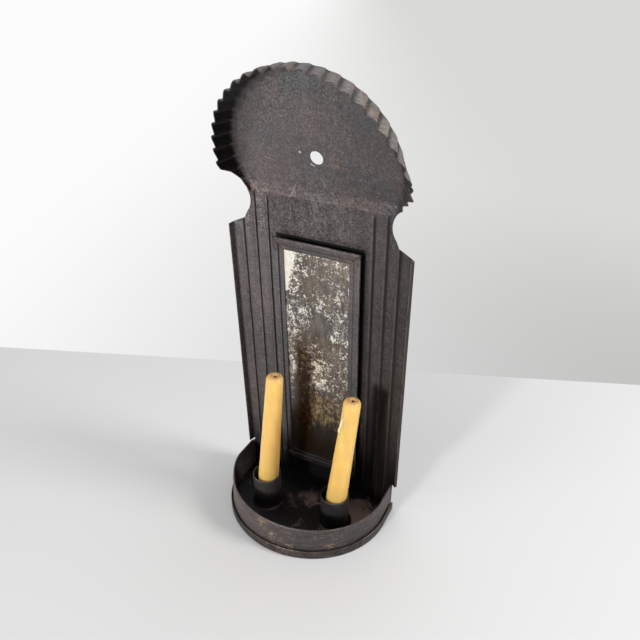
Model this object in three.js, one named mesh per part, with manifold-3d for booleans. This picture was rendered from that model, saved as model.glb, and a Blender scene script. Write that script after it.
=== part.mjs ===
// Mirror-back wall sconce of browned sheet tin: a creased back plate under a crimped round crest,
// a framed mirror, and a half-round drip pan that holds two candles in sockets.
// Millimetres, +Z up, the front towards -Y, the drip pan standing on z = 0.
// The tin is drawn with the back plate's front face at y = 0, and the last lines centre it on its box.

import * as THREE from "three";
import { mergeVertices } from "three/addons/utils/BufferGeometryUtils.js";
import Module from "manifold-3d";

const wasm = await Module();
wasm.setup();

// Stock and clearances
const sheet = 0.7;
const seat = 0.3;
const overrun = 6;
const cutterSides = 48;

// Back plate
const plateWidth = 150;
const shoulderHeight = 244;
const sideLift = 1;
const outerStrip = 11.8;
const middleStrip = 10.4;
const innerStrip = 10.5;
const stripTurns = [2.5, 5.5, 10.5].map(THREE.MathUtils.degToRad);
const creaseHalfWidth = 0.8;
const creaseDepth = 0.35;
const edgeDepth = 5.6;
const edgeInsets = { left: 2.7, right: 0 };
const edgeTurns = { left: THREE.MathUtils.degToRad(8), right: 0 };
const notchRadius = 15.1;
const notchInset = 3.7;
const notchRise = 20.4;
const kneeInset = 12.8;
const kneeRise = 5.6;
const kneeTurn = THREE.MathUtils.degToRad(40);

// Crest: a round sheet lapped over the top of the back plate, its edge crimped and turned forward
const lapRise = 28.3;
const lapHeight = 8.7;
const crestBendRise = 7.7;
const crestLean = THREE.MathUtils.degToRad(13.4);
const crestRadius = 65.1;
const crestCentreRise = 22.9;
const crestOffset = 1.7;
const hangingHoleRise = 25.3;
const hangingHoleOffset = 2.2;
const hangingHoleRadius = 4.9;
const crestFillet = 5;
const flangeLength = 15.3;
const flangeFlare = THREE.MathUtils.degToRad(9.2);
const flangeEndFlares = { left: THREE.MathUtils.degToRad(-1), right: THREE.MathUtils.degToRad(44) };
const flangeEndSlope = 1;
const crimpCount = 42;
const crimpHeight = 1.5;
const crimpTwistShare = 0.35;
const crimpPhaseShares = [0, 0.22, 0.48, 0.76, 0.9];
const crestOpenShares = [0.3, 0.62];
const crestRows = [
  { bendShare: 0, flangeShare: 0, crimpShare: 0 },
  { bendShare: 0.5, flangeShare: 0, crimpShare: 0.15 },
  { bendShare: 1, flangeShare: 0, crimpShare: 0.35 },
  { bendShare: 1, flangeShare: 0.5, crimpShare: 0.8 },
  { bendShare: 1, flangeShare: 1, crimpShare: 1 },
];

// Mirror and its frame
const frameHalfWidth = 36;
const frameBottom = 26.5;
const frameTopDrop = 2.4;
const frameBand = 8.8;
const frameStep = 0.9;
const frameOuterBand = 4.9;
const frameStepRun = 0.4;
const frameStandoff = 7.3;
const frameFace = 1.6;
const mirrorPanInset = 5.4;
const cardThickness = 1.6;
const glassThickness = 3;
const frameSolderSize = 4.2;
const frameSolderThickness = 0.6;

// Drip pan
const rimHeight = 28;
const sideReveal = 4.9;
const panReach = 86.8;
const panStraight = 24;
const sideRake = 0.5;
const frontRake = 3.5;
const rimHemHeight = 2.4;
const rimHemThickness = 0.8;
const lipHeight = 8;
const lipThickness = 1.9;
const lipEdge = 0.5;
const panSteps = 36;
const panSolderSize = 2.2;

// Sockets, set in by hand from the plate's edges
const socketInsets = { left: 42.1, right: 43.1 };
const socketForwards = { left: 41.3, right: 38.1 };
const socketBore = 11.3;
const socketHeight = 33;
const socketHoleRadius = 2.2;
const socketHoleHeight = 13.5;
const socketSolderWidth = 1.8;
const socketSides = 40;

// Candles: short tapers that lean in sockets made for thicker ones
const candleBaseRadius = 9.4;
const candleTopRadius = 6.7;
const candleLengths = { left: 142, right: 137 };
const candleTurns = { left: 0, right: THREE.MathUtils.degToRad(6) };
const candleDomeHeight = 4.6;
const candleEdge = 0.7;
const craterRadius = 2.6;
const craterDepth = 1.3;
const wickRadius = 0.95;
const wickSetback = 1.2;
const wickSides = 10;
const candleSides = 32;
const candleDomeShares = [0, 0.3, 0.6, 0.85, 1];
const dripRadius = 1.2;
const dripLength = 15;
const dripTop = 14;
const dripBeadRadius = 2.1;
const dripSink = 0.6;
const dripTurn = THREE.MathUtils.degToRad(205);
const dripRings = 5;

// Places worked out from the sizes above
const plateHalf = plateWidth / 2;
const creaseOuter = plateHalf - outerStrip;
const creaseMiddle = creaseOuter - middleStrip;
const creaseInner = creaseMiddle - innerStrip;
const creases = [creaseInner, creaseMiddle, creaseOuter];
const sideBottom = rimHeight + sideLift;
const notchX = plateHalf - notchInset;
const notchZ = shoulderHeight + notchRise;
const lapZ = shoulderHeight + lapRise;
const crestBendZ = lapZ + crestBendRise;
const panHalf = plateHalf - sideReveal;
const frameTop = shoulderHeight - frameTopDrop;
const frameMiddleZ = (frameTop + frameBottom) / 2;
const frameHalfHeight = (frameTop - frameBottom) / 2;
const frameBack = frameStandoff - frameFace;
const mirrorPanHalfWidth = frameHalfWidth - mirrorPanInset;
const mirrorPanHalfHeight = frameHalfHeight - mirrorPanInset;
const socketRadius = socketBore + sheet;
const lipOuter = seat + lipThickness;

// Finishes
const finish = (color, roughness, metalness) => new THREE.MeshStandardMaterial({ color, roughness, metalness });
const brownedTin = finish(0x4d4744, 0.55, 0.75);
const darkTin = finish(0x38332f, 0.6, 0.7);
const solder = finish(0x6d675f, 0.5, 0.8);
const mirrorSilver = finish(0xb9b6ab, 0.18, 0.95);
const card = finish(0x8a7455, 0.95, 0);
const beeswax = finish(0xe8bf6a, 0.45, 0);
const charredWick = finish(0x2a241e, 0.95, 0);

// Closed solids for cutting and joining
function toSolid(geometry) {
  const bare = geometry.clone();
  bare.deleteAttribute("normal");
  bare.deleteAttribute("uv");
  const merged = mergeVertices(bare);
  const vertProperties = new Float32Array(merged.attributes.position.array);
  const triVerts = new Uint32Array(merged.index.array);
  return new wasm.Manifold(new wasm.Mesh({ numProp: 3, vertProperties, triVerts }));
}

function toGeometry(solid) {
  const { vertProperties, triVerts } = solid.getMesh();
  const geometry = new THREE.BufferGeometry();
  geometry.setAttribute("position", new THREE.Float32BufferAttribute(vertProperties, 3));
  geometry.setIndex(Array.from(triVerts));
  geometry.computeVertexNormals();
  return geometry;
}

function piece(name, geometry, material) {
  const mesh = new THREE.Mesh(geometry, material);
  mesh.name = name;
  return mesh;
}

// A block from its lowest and highest corners
function block(low, high) {
  const size = high.map((value, axis) => value - low[axis]);
  const geometry = new THREE.BoxGeometry(...size);
  return geometry.translate(...low.map((value, axis) => value + size[axis] / 2));
}

// An outline in x and z, given a thickness from y = front to y = back
function upright(points, front, back) {
  const outline = new THREE.Shape(points.map(([x, z]) => new THREE.Vector2(x, z)));
  const geometry = new THREE.ExtrudeGeometry(outline, { depth: back - front, bevelEnabled: false });
  return geometry.rotateX(Math.PI / 2).translate(0, back, 0);
}

// A plan outline in x and y, given a height from z = low to z = high
function standing(points, low, high) {
  const outline = new THREE.Shape(points.map(([x, y]) => new THREE.Vector2(x, y)));
  const geometry = new THREE.ExtrudeGeometry(outline, { depth: high - low, bevelEnabled: false });
  return geometry.translate(0, 0, low);
}

const mirrored = (points) => [...points, ...points.toReversed().map(([x, y]) => [-x, y])];

// A drill or round cutter along y
function roundCutter(radius, x, z, front, back) {
  const geometry = new THREE.CylinderGeometry(radius, radius, back - front, cutterSides);
  return geometry.translate(x, (front + back) / 2, z);
}

// A profile in radius and height, turned about the z axis
function turned(profile, sides) {
  const points = profile.map(([radius, height]) => new THREE.Vector2(radius, height));
  return new THREE.LatheGeometry(points, sides).rotateX(Math.PI / 2);
}

// A solid through rings of points that all follow one closed profile, capped at both ends
function loft(rings, profile) {
  const count = profile.length;
  const positions = rings.flat(2);
  const index = [];
  for (let ring = 0; ring < rings.length - 1; ring += 1) {
    for (let side = 0; side < count; side += 1) {
      const a = ring * count + side;
      const b = ring * count + ((side + 1) % count);
      index.push(a, b, b + count, a, b + count, a + count);
    }
  }
  const face = profile.map(([u, v]) => new THREE.Vector2(u, v));
  const last = (rings.length - 1) * count;
  for (const [a, b, c] of THREE.ShapeUtils.triangulateShape(face, [])) {
    index.push(c, b, a, last + a, last + b, last + c);
  }
  const geometry = new THREE.BufferGeometry();
  geometry.setAttribute("position", new THREE.Float32BufferAttribute(positions, 3));
  geometry.setIndex(index);
  return geometry.toNonIndexed();
}

// The front face of the creased plate, from the middle out to the right edge
function plateFront(x) {
  const distance = Math.abs(x);
  let depth = 0;
  for (let strip = 0; strip < creases.length; strip += 1) {
    const edge = creases[strip + 1] ?? plateHalf;
    const run = Math.min(Math.max(distance - creases[strip], 0), edge - creases[strip]);
    depth += run * Math.tan(stripTurns[strip]);
  }
  return -depth;
}

const atFront = (x, depth = 0) => [x, plateFront(x) + depth];
const notchCutter = (side) => roundCutter(notchRadius, side * notchX, notchZ, -plateWidth, plateWidth);
const withoutNotches = (solid) => solid.subtract(toSolid(notchCutter(1))).subtract(toSolid(notchCutter(-1)));

// Half the plate's section from the middle out: creased front, side edge turned forward, plain back
function plateHalfSection(side) {
  const tip = plateHalf - edgeInsets[side];
  const root = tip - edgeDepth * Math.tan(edgeTurns[side]);
  const grooves = creases.flatMap((x) => [
    atFront(x - creaseHalfWidth),
    atFront(x, creaseDepth),
    atFront(x + creaseHalfWidth),
  ]);
  const edge = plateFront(root) - edgeDepth;
  return [
    ...grooves,
    atFront(root - sheet),
    [tip - sheet, edge],
    [tip, edge],
    atFront(root),
    atFront(root - sheet, sheet),
    ...creases.toReversed().map((x) => atFront(x, sheet)),
  ];
}

function backPlate() {
  const leftHalf = plateHalfSection("left").toReversed().map(([x, y]) => [-x, y]);
  const section = standing([...plateHalfSection("right"), ...leftHalf], sheet, lapZ);
  const corner = [notchX - notchRadius * Math.cos(kneeTurn), notchZ - notchRadius * Math.sin(kneeTurn)];
  const outline = upright(mirrored([
    [panHalf, 0],
    [panHalf, sideBottom],
    [plateHalf, sideBottom],
    [plateHalf, shoulderHeight],
    [plateHalf - kneeInset, shoulderHeight + kneeRise],
    corner,
    [corner[0], lapZ + overrun],
  ]), -plateWidth, plateWidth);
  const tongue = block([-creaseMiddle, 0, lapZ - overrun], [creaseMiddle, sheet, lapZ + lapHeight]);
  const body = toSolid(section).intersect(toSolid(outline)).add(toSolid(tongue));
  return toGeometry(withoutNotches(body));
}

// The crest's section at an angle round it: radius, depth forward, and the slope of the sheet there
function crestRow(row, angle) {
  const fromTop = Math.acos(Math.sin(angle)) / Math.PI;
  const opening = THREE.MathUtils.smoothstep(fromTop, crestOpenShares[0], crestOpenShares[1]);
  const endFlare = angle > Math.PI / 2 && angle < 1.5 * Math.PI ? flangeEndFlares.left : flangeEndFlares.right;
  const flare = THREE.MathUtils.lerp(flangeFlare, endFlare, opening);
  const slope = (Math.PI / 2 - flare) * row.bendShare;
  const along = flangeLength * row.flangeShare;
  return {
    radius: crestRadius - crestFillet + crestFillet * Math.sin(slope) + along * Math.cos(slope),
    forward: crestFillet * (1 - Math.cos(slope)) + along * Math.sin(slope),
    slope,
  };
}

// One crimp rises slowly and falls back sharply, as a fluting tool leaves it
function crimpWave(phase) {
  const turn = phase - Math.floor(phase);
  const fall = crimpPhaseShares[3];
  return turn < fall ? Math.cos((Math.PI * turn) / fall) : -Math.cos((Math.PI * (turn - fall)) / (1 - fall));
}

function crestPoint(row, angle, side) {
  const { radius, forward, slope } = crestRow(row, angle);
  const phase = (angle * crimpCount) / (2 * Math.PI) + crimpTwistShare * row.flangeShare;
  const shift = crimpHeight * row.crimpShare * crimpWave(phase) + (side * sheet) / 2;
  const reach = radius + shift * Math.sin(slope);
  const depth = forward - shift * Math.cos(slope);
  return [reach * Math.cos(angle), -sheet / 2 - depth, reach * Math.sin(angle)];
}

// The whole round dish, front surface outwards and back surface inwards
function crimpedDish() {
  const angles = Array.from({ length: crimpCount }, (_, crimp) => crimpPhaseShares.map(
    (share) => ((crimp + share) * 2 * Math.PI) / crimpCount,
  )).flat();
  const rings = [
    ...crestRows.map((row) => angles.map((angle) => crestPoint(row, angle, -1))),
    ...crestRows.toReversed().map((row) => angles.map((angle) => crestPoint(row, angle, 1))),
  ];
  const count = angles.length;
  const frontPole = rings.length * count;
  const index = [];
  for (let side = 0; side < count; side += 1) {
    const next = (side + 1) % count;
    index.push(frontPole, side, next);
    for (let ring = 0; ring < rings.length - 1; ring += 1) {
      const inner = ring * count;
      const outer = inner + count;
      index.push(inner + side, outer + side, outer + next, inner + side, outer + next, inner + next);
    }
    const last = (rings.length - 1) * count;
    index.push(last + side, frontPole + 1, last + next);
  }
  const poles = [0, -sheet, 0, 0, 0, 0];
  const geometry = new THREE.BufferGeometry();
  geometry.setAttribute("position", new THREE.Float32BufferAttribute([...rings.flat(2), ...poles], 3));
  geometry.setIndex(index);
  return geometry.toNonIndexed();
}

// A profile in y and z, run along x
function crosswise(points, low, high) {
  const outline = new THREE.Shape(points.map(([y, z]) => new THREE.Vector2(y, z)));
  const geometry = new THREE.ExtrudeGeometry(outline, { depth: high - low, bevelEnabled: false });
  const turn = new THREE.Matrix4().makeBasis(
    new THREE.Vector3(0, 1, 0),
    new THREE.Vector3(0, 0, 1),
    new THREE.Vector3(1, 0, 0),
  );
  return geometry.applyMatrix4(turn).translate(low, 0, 0);
}

// Both lower ends of the flange are trimmed on a slant
function flangeTrim(side) {
  const run = flangeLength + crestFillet + overrun;
  const start = crestBendZ;
  const wedge = [
    [-sheet - seat, start],
    [-sheet - seat - run, start + run * flangeEndSlope],
    [-sheet - seat - run, start - overrun],
    [-sheet - seat, start - overrun],
  ];
  const inner = crestRadius - crestFillet - overrun;
  const limits = [side * inner, side * plateWidth].toSorted((a, b) => a - b);
  return toSolid(crosswise(wedge, ...limits));
}

function crestDisc() {
  const centre = crestBendZ + crestCentreRise;
  const below = block([-plateWidth, -plateWidth, 0], [plateWidth, plateWidth, crestBendZ]);
  const holeZ = crestBendZ + hangingHoleRise;
  const hole = roundCutter(hangingHoleRadius, hangingHoleOffset, holeZ, -plateWidth, plateWidth);
  const dish = toSolid(crimpedDish().translate(crestOffset, 0, centre))
    .subtract(toSolid(below))
    .subtract(toSolid(hole))
    .subtract(flangeTrim(1))
    .subtract(flangeTrim(-1));
  const leaning = toGeometry(withoutNotches(dish))
    .translate(0, 0, -crestBendZ)
    .rotateX(crestLean)
    .translate(0, 0, crestBendZ);
  const lap = block([-crestRadius, -sheet, lapZ + seat], [crestRadius, 0, crestBendZ]);
  return toGeometry(toSolid(leaning).add(withoutNotches(toSolid(lap))));
}

function crestSolder() {
  const top = lapZ + lapHeight;
  return crosswise([[0, top], [sheet, top], [0, top + 2 * sheet]], -creaseMiddle, creaseMiddle);
}

// The mirror sits in a shallow pan soldered to the plate, and the frame overhangs the pan's walls
const mirrorBox = (halfWidth, halfHeight, front, back) => block(
  [-halfWidth, front, frameMiddleZ - halfHeight],
  [halfWidth, back, frameMiddleZ + halfHeight],
);

function mirrorPan() {
  const outer = mirrorBox(mirrorPanHalfWidth, mirrorPanHalfHeight, -frameBack, 0);
  const hollow = mirrorBox(
    mirrorPanHalfWidth - sheet,
    mirrorPanHalfHeight - sheet,
    -frameBack - overrun,
    -sheet,
  );
  return toGeometry(toSolid(outer).subtract(toSolid(hollow)));
}

function inMirrorPan(front, back) {
  const play = sheet + seat;
  return mirrorBox(mirrorPanHalfWidth - play, mirrorPanHalfHeight - play, front, back);
}

// A rail of the frame, its ends mitred, running along x with its outer edge at the top
function frameRail(halfLength, halfSpan) {
  const profile = [
    [0, -frameStandoff],
    [frameOuterBand, -frameStandoff],
    [frameOuterBand + frameStepRun, -frameStandoff + frameStep],
    [frameBand, -frameStandoff + frameStep],
    [frameBand, -frameBack],
    [0, -frameBack],
  ];
  const ends = [-1, 1].map((end) => profile.map(
    ([across, y]) => [end * (halfLength - across - seat / 2), y, halfSpan - across],
  ));
  return loft(ends, profile);
}

// A pad of solder behind one mitre of the frame, outside the mirror's pan
function frameSolder(xSide, zSide) {
  const x = mirrorPanHalfWidth + seat + frameSolderSize / 2;
  const z = mirrorPanHalfHeight + seat + frameSolderSize / 2;
  const pad = new THREE.BoxGeometry(frameSolderSize, frameSolderThickness, frameSolderSize);
  return pad.translate(xSide * x, -frameBack + frameSolderThickness / 2, frameMiddleZ + zSide * z);
}

// The pan's plan: straight sides from the plate, then half an ellipse round the front
const panBack = plateFront(panHalf) - seat;

function panPath(offset, height, back) {
  const rake = THREE.MathUtils.clamp((height - lipHeight) / (rimHeight - lipHeight), 0, 1);
  const half = panHalf + offset - sideRake * rake;
  const reach = panReach + offset - frontRake * rake;
  const curve = Array.from({ length: panSteps + 1 }, (_, step) => {
    const angle = (step * Math.PI) / panSteps;
    return [half * Math.cos(angle), -panStraight - (reach - panStraight) * Math.sin(angle)];
  });
  return [[half, back], ...curve, [-half, back]];
}

function aroundPan(profile) {
  const paths = profile.map(([offset, height]) => panPath(offset, height, panBack));
  const rings = paths[0].map((_, step) => profile.map(
    ([, height], corner) => [...paths[corner][step], height],
  ));
  return loft(rings, profile);
}

function panWall() {
  const hem = rimHeight - rimHemHeight;
  return aroundPan([
    [0, sheet],
    [0, lipHeight],
    [0, rimHeight],
    [-sheet - rimHemThickness, rimHeight],
    [-sheet - rimHemThickness, hem],
    [-sheet, hem - rimHemThickness],
    [-sheet, lipHeight],
    [-sheet, sheet],
  ]);
}

function panFloor() {
  const lip = aroundPan([
    [seat, 0],
    [lipOuter - lipEdge, 0],
    [lipOuter, lipEdge],
    [lipOuter, lipHeight - lipEdge],
    [lipOuter - lipEdge, lipHeight],
    [seat, lipHeight],
  ]);
  const disc = standing(panPath(lipOuter - lipEdge, 0, panBack), 0, sheet);
  const tail = block([-panHalf, panBack - overrun, 0], [panHalf, sheet, sheet]);
  return toGeometry(toSolid(lip).add(toSolid(disc)).add(toSolid(tail)));
}

function panSolder(side) {
  const corner = panHalf - sheet - sideRake - seat;
  const [, y] = atFront(corner, -seat);
  const [inner, innerY] = atFront(corner - panSolderSize, -seat);
  const points = [[side * corner, y], [side * inner, innerY], [side * corner, y - panSolderSize]];
  return standing(points, sheet, rimHeight - 2 * rimHemHeight);
}

function socket() {
  const tube = turned([
    [socketBore, 0],
    [socketRadius, 0],
    [socketRadius, socketHeight],
    [socketBore, socketHeight],
    [socketBore, 0],
  ], socketSides);
  const hole = roundCutter(socketHoleRadius, 0, socketHoleHeight, -socketRadius - overrun, 0);
  return toGeometry(toSolid(tube).subtract(toSolid(hole)));
}

function socketSolder() {
  const inner = socketRadius + seat;
  return turned([[inner, 0], [inner + socketSolderWidth, 0], [inner, socketSolderWidth], [inner, 0]], socketSides);
}

// A taper with a rounded top, a small crater and a bore for its wick
function candleProfile(length) {
  const bore = wickRadius + seat;
  const shoulder = length - candleDomeHeight;
  const dome = candleDomeShares.map((share) => {
    const angle = (share * Math.PI) / 2;
    const radius = craterRadius + (candleTopRadius - craterRadius) * Math.cos(angle);
    return [radius, shoulder + candleDomeHeight * Math.sin(angle)];
  });
  return [
    [bore, 0],
    [candleBaseRadius - candleEdge, 0],
    [candleBaseRadius, candleEdge],
    ...dome,
    [bore, length - craterDepth],
    [bore, 0],
  ];
}

const candle = (length) => turned(candleProfile(length), candleSides);

// A run of wax down one side, ending in a bead
function drippedCandle(length) {
  const middle = length - dripTop - dripLength / 2;
  const taper = (candleBaseRadius - candleTopRadius) / (length - candleDomeHeight);
  const surface = (height) => candleBaseRadius - taper * height - dripSink;
  const place = (geometry, height) => geometry
    .translate(surface(height), 0, height)
    .rotateZ(dripTurn);
  const run = new THREE.CapsuleGeometry(dripRadius, dripLength, dripRings, 2 * dripRings).rotateX(Math.PI / 2);
  const bead = new THREE.SphereGeometry(dripBeadRadius, 2 * dripRings, dripRings);
  return toGeometry(toSolid(candle(length))
    .add(toSolid(place(run, middle)))
    .add(toSolid(place(bead, middle - dripLength / 2))));
}

function wick(length) {
  return new THREE.CylinderGeometry(wickRadius, wickRadius, length, wickSides).rotateX(Math.PI / 2);
}

// The candle leans until its foot and its side both touch the socket
function candleLean(length) {
  const taper = (candleBaseRadius - candleTopRadius) / (length - candleDomeHeight);
  const atRim = candleBaseRadius - taper * socketHeight;
  const play = 2 * (socketBore - seat) - candleBaseRadius - atRim;
  return Math.atan(play / socketHeight);
}

function candleInSocket(side) {
  const length = candleLengths[side];
  const lean = candleLean(length);
  const tilt = new THREE.Group();
  tilt.rotation.y = lean;
  tilt.position.x = candleBaseRadius * Math.cos(lean) - (socketBore - seat);
  tilt.position.z = candleBaseRadius * Math.sin(lean) + seat;
  const wax = side === "right" ? drippedCandle(length) : candle(length);
  tilt.add(piece(`candle_${side}`, wax, beeswax));
  const wickLength = length - craterDepth - 2 * wickSetback;
  const core = piece(`wick_${side}`, wick(wickLength), charredWick);
  core.position.z = wickSetback + wickLength / 2;
  tilt.add(core);
  const turn = new THREE.Group();
  turn.rotation.z = candleTurns[side];
  turn.add(tilt);
  return turn;
}

function socketAssembly(side, direction) {
  const group = new THREE.Group();
  group.position.set(direction * (plateHalf - socketInsets[side]), -socketForwards[side], sheet);
  group.add(piece(`socket_${side}`, socket(), darkTin));
  group.add(piece(`socket_solder_${side}`, socketSolder(), solder));
  group.add(candleInSocket(side));
  return group;
}

function framedMirror() {
  const group = new THREE.Group();
  const glassBack = -sheet - cardThickness;
  group.add(piece("mirror_pan", mirrorPan(), darkTin));
  group.add(piece("backing_card", inMirrorPan(glassBack, -sheet), card));
  group.add(piece("mirror_glass", inMirrorPan(glassBack - glassThickness, glassBack), mirrorSilver));
  const rails = {
    frame_top: [frameHalfWidth, frameHalfHeight, 0],
    frame_bottom: [frameHalfWidth, frameHalfHeight, Math.PI],
    frame_right: [frameHalfHeight, frameHalfWidth, Math.PI / 2],
    frame_left: [frameHalfHeight, frameHalfWidth, -Math.PI / 2],
  };
  for (const [name, [halfLength, halfSpan, turn]] of Object.entries(rails)) {
    const rail = frameRail(halfLength, halfSpan).rotateY(turn).translate(0, 0, frameMiddleZ);
    group.add(piece(name, rail, brownedTin));
  }
  for (const [end, zSide] of [["bottom", -1], ["top", 1]]) {
    group.add(piece(`frame_solder_${end}_left`, frameSolder(-1, zSide), solder));
    group.add(piece(`frame_solder_${end}_right`, frameSolder(1, zSide), solder));
  }
  return group;
}

const tin = new THREE.Group();
tin.add(piece("back_plate", backPlate(), brownedTin));
tin.add(piece("crest_disc", crestDisc(), brownedTin));
tin.add(piece("crest_solder", crestSolder(), solder));
tin.add(framedMirror());
tin.add(piece("pan_floor", panFloor(), darkTin));
tin.add(piece("pan_wall", panWall(), brownedTin));
tin.add(piece("pan_solder_right", panSolder(1), solder));
tin.add(piece("pan_solder_left", panSolder(-1), solder));
tin.add(socketAssembly("left", -1));
tin.add(socketAssembly("right", 1));

// Centre the sconce on its own box, side to side and back to front
const middle = new THREE.Box3().setFromObject(tin).getCenter(new THREE.Vector3());
tin.position.set(-middle.x, -middle.y, 0);

const sconce = new THREE.Group();
sconce.add(tin);

export default sconce;
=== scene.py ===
"""Mirror-back wall sconce: browned sheet tin, old looking glass and two beeswax candles, dressed round its frame."""

import math

import bmesh
import bpy
from bpy.props import FloatProperty, FloatVectorProperty, IntProperty, PointerProperty
from mathutils import Matrix, Vector, noise


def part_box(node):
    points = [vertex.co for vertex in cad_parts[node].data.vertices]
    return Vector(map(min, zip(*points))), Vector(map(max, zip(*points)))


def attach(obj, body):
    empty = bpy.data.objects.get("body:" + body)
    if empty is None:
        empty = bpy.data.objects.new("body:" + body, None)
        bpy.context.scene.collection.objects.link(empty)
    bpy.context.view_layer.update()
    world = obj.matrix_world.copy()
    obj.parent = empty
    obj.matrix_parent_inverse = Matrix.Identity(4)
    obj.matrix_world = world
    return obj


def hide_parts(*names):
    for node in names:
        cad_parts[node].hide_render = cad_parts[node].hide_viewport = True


bl_info = {
    "name": "Mirror-back wall sconce",
    "version": (1, 0, 0),
    "blender": (4, 5, 0),
    "location": "View3D > Sidebar > Sconce",
    "description": "Builds the tin, glass and wax of a mirror-back candle sconce round its packed frame",
    "category": "Object",
}

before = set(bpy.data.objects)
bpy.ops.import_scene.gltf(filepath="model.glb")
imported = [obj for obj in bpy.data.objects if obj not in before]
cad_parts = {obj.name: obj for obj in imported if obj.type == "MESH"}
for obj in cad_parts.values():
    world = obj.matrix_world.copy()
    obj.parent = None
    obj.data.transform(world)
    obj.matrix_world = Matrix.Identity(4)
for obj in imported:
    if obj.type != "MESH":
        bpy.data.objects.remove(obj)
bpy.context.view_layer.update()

MM = 0.001
WELD = 0.00001

# Places and sizes that the frame fixes, measured from the middle of the plate's flat front
SHEET = 0.7 * MM
SEAT = 0.3 * MM
PLATE_HALF = 75 * MM
SHOULDER_Z = 244 * MM
SIDE_BOTTOM = 29 * MM
CREASES = (42.3 * MM, 52.8 * MM, 63.2 * MM)
STRIP_TURNS = tuple(math.radians(turn) for turn in (2.5, 5.5, 10.5))
NOTCH = Vector((71.3, 264.4)) * MM
NOTCH_RADIUS = 15.1 * MM
KNEE = Vector((62.2, 249.6)) * MM
NOTCH_START = Vector((59.73, 254.69)) * MM
BEND_Z = 280 * MM
TONGUE_BOTTOM = 268 * MM
TONGUE_TOP = 281 * MM
EDGE_DEPTH = 5.6 * MM
EDGE_INSETS = {-1: 2.7 * MM, 1: 0.0}
EDGE_TURNS = {-1: math.radians(8), 1: 0.0}

CREST_LEAN = math.radians(13.4)
CREST_RADIUS = 65.1 * MM
CREST_CENTRE = Vector((1.7, 22.9)) * MM
HANGING_HOLE = Vector((2.2, 25.3)) * MM
HANGING_HOLE_RADIUS = 4.9 * MM
CREST_FILLET = 5 * MM
LAP_DEPTH = 8 * MM
FLANGE_LENGTH = 15.3 * MM
FLANGE_FLARE = math.radians(9.2)
FLANGE_END_FLARES = (math.radians(-1), math.radians(44))

FRAME_HALF_WIDTH = 36 * MM
FRAME_BOTTOM = 26.5 * MM
FRAME_TOP = 241.6 * MM
FRAME_MIDDLE_Z = (FRAME_TOP + FRAME_BOTTOM) / 2
FRAME_HALF_HEIGHT = (FRAME_TOP - FRAME_BOTTOM) / 2

RIM_Z = 28 * MM
PAN_HALF = 70.1 * MM
PAN_REACH = 86.8 * MM
PAN_STRAIGHT = 24 * MM
SIDE_RAKE = 0.5 * MM
FRONT_RAKE = 3.5 * MM
LIP_Z = 8 * MM

SOCKETS = {"left": Vector((-32.9, -41.3)) * MM, "right": Vector((31.9, -38.1)) * MM}
SOCKET_BORE = 11.3 * MM
SOCKET_OUTER = SOCKET_BORE + SHEET
SOCKET_HEIGHT = 33 * MM
SOCKET_HOLE_Z = 13.5 * MM
SOCKET_HOLE_RADIUS = 2.2 * MM

CANDLE_BASE = 9.4 * MM
CANDLE_TOP = 6.7 * MM
CANDLE_DOME = 4.6 * MM
CANDLE_LENGTHS = {"left": 142 * MM, "right": 137 * MM}
CANDLE_TURNS = {"left": 0.0, "right": math.radians(6)}

_, plate_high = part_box("back_plate")
ORIGIN = Vector((plate_high.x - PLATE_HALF, plate_high.y - SHEET, 0))

# What handwork and age do to the sheets and the wax
CREASE_DEPTH = 0.55 * MM
CRIMP_FALL = 0.76
CRIMP_STEPS = 10
FOOT_SLANT = 0.8
FOOT_SLANT_TOP = 40 * MM
PAN_STEPS = 150
PAN_BULGE = 2.2 * MM
CRATER_RADIUS = 2.6 * MM
CRATER_DEPTH = 1.3 * MM
RUN_TURN = math.radians(205)
RUN_BELOW_TIP = 14 * MM
RUN_LENGTH = 19 * MM
DRILL_LENGTH = 12 * MM

# Outlines in millimetres: x and depth of the plate, depth and height of the cutters, offset and height of the pan
PLATE_MIDDLE = (4, 12, 20, 28, 35)
PLATE_BACK = (66, 63.2, 58, 52.8, 47, 42.3, 34, 22, 10)
CREASE_RIDGES = {
    -1: ((-1.0, 0), (-0.1, 0.55), (0.45, -0.1), (1.1, -0.3), (1.9, 0)),
    1: ((-1.9, 0), (-1.1, -0.14), (-0.45, -0.05), (0.2, 0.5), (1.2, 0)),
}
PLATE_LEVELS = (0.7, 8, 18, 28.9, 29, *range(36, 244, 8), 244, 245.2, 246, 247, 248.5, 249.6, 250.8, 252, 253.2)
PLATE_LEVELS += (254.2, 255.2, 256.4, 257.8, 259.4, 261, 262.8, 264.6, 266.4, 268, 269.5, 271, 272.3)
FLANGE_ENDS = {
    -1: ((4.6, -14), (4.6, 0.6), (5, 1.4), (10.5, 9.6), (17.1, 14.4), (26, 20.8), (32, -14)),
    1: ((4.6, -14), (4.6, 3.0), (6.1, 4.7), (14.3, 16.2), (32, 17), (32, -14)),
}
RAIL_SECTION = (
    (0.0, -5.7), (0.0, -6.85), (0.2, -7.2), (0.6, -7.3), (2.5, -7.3), (4.35, -7.3), (4.7, -7.22), (4.9, -6.95),
    (5.0, -6.55), (5.2, -6.4), (7.0, -6.4), (8.4, -6.4), (8.7, -6.25), (8.8, -5.95), (8.8, -5.35), (8.2, -5.35),
    (8.2, -5.7),
)
WALL_SECTION = (
    (0.0, 0.7), (0.0, 4.5), (0.0, 8.0), (0.0, 13.0), (0.0, 19.0), (0.0, 24.0), (0.0, 26.4), (-0.12, 27.4),
    (-0.5, 27.92), (-1.0, 27.92), (-1.4, 27.4), (-1.5, 26.6), (-1.4, 25.8), (-0.95, 25.2), (-0.7, 24.4),
    (-0.7, 18.0), (-0.7, 12.0), (-0.7, 8.0), (-0.7, 0.7),
)
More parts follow.
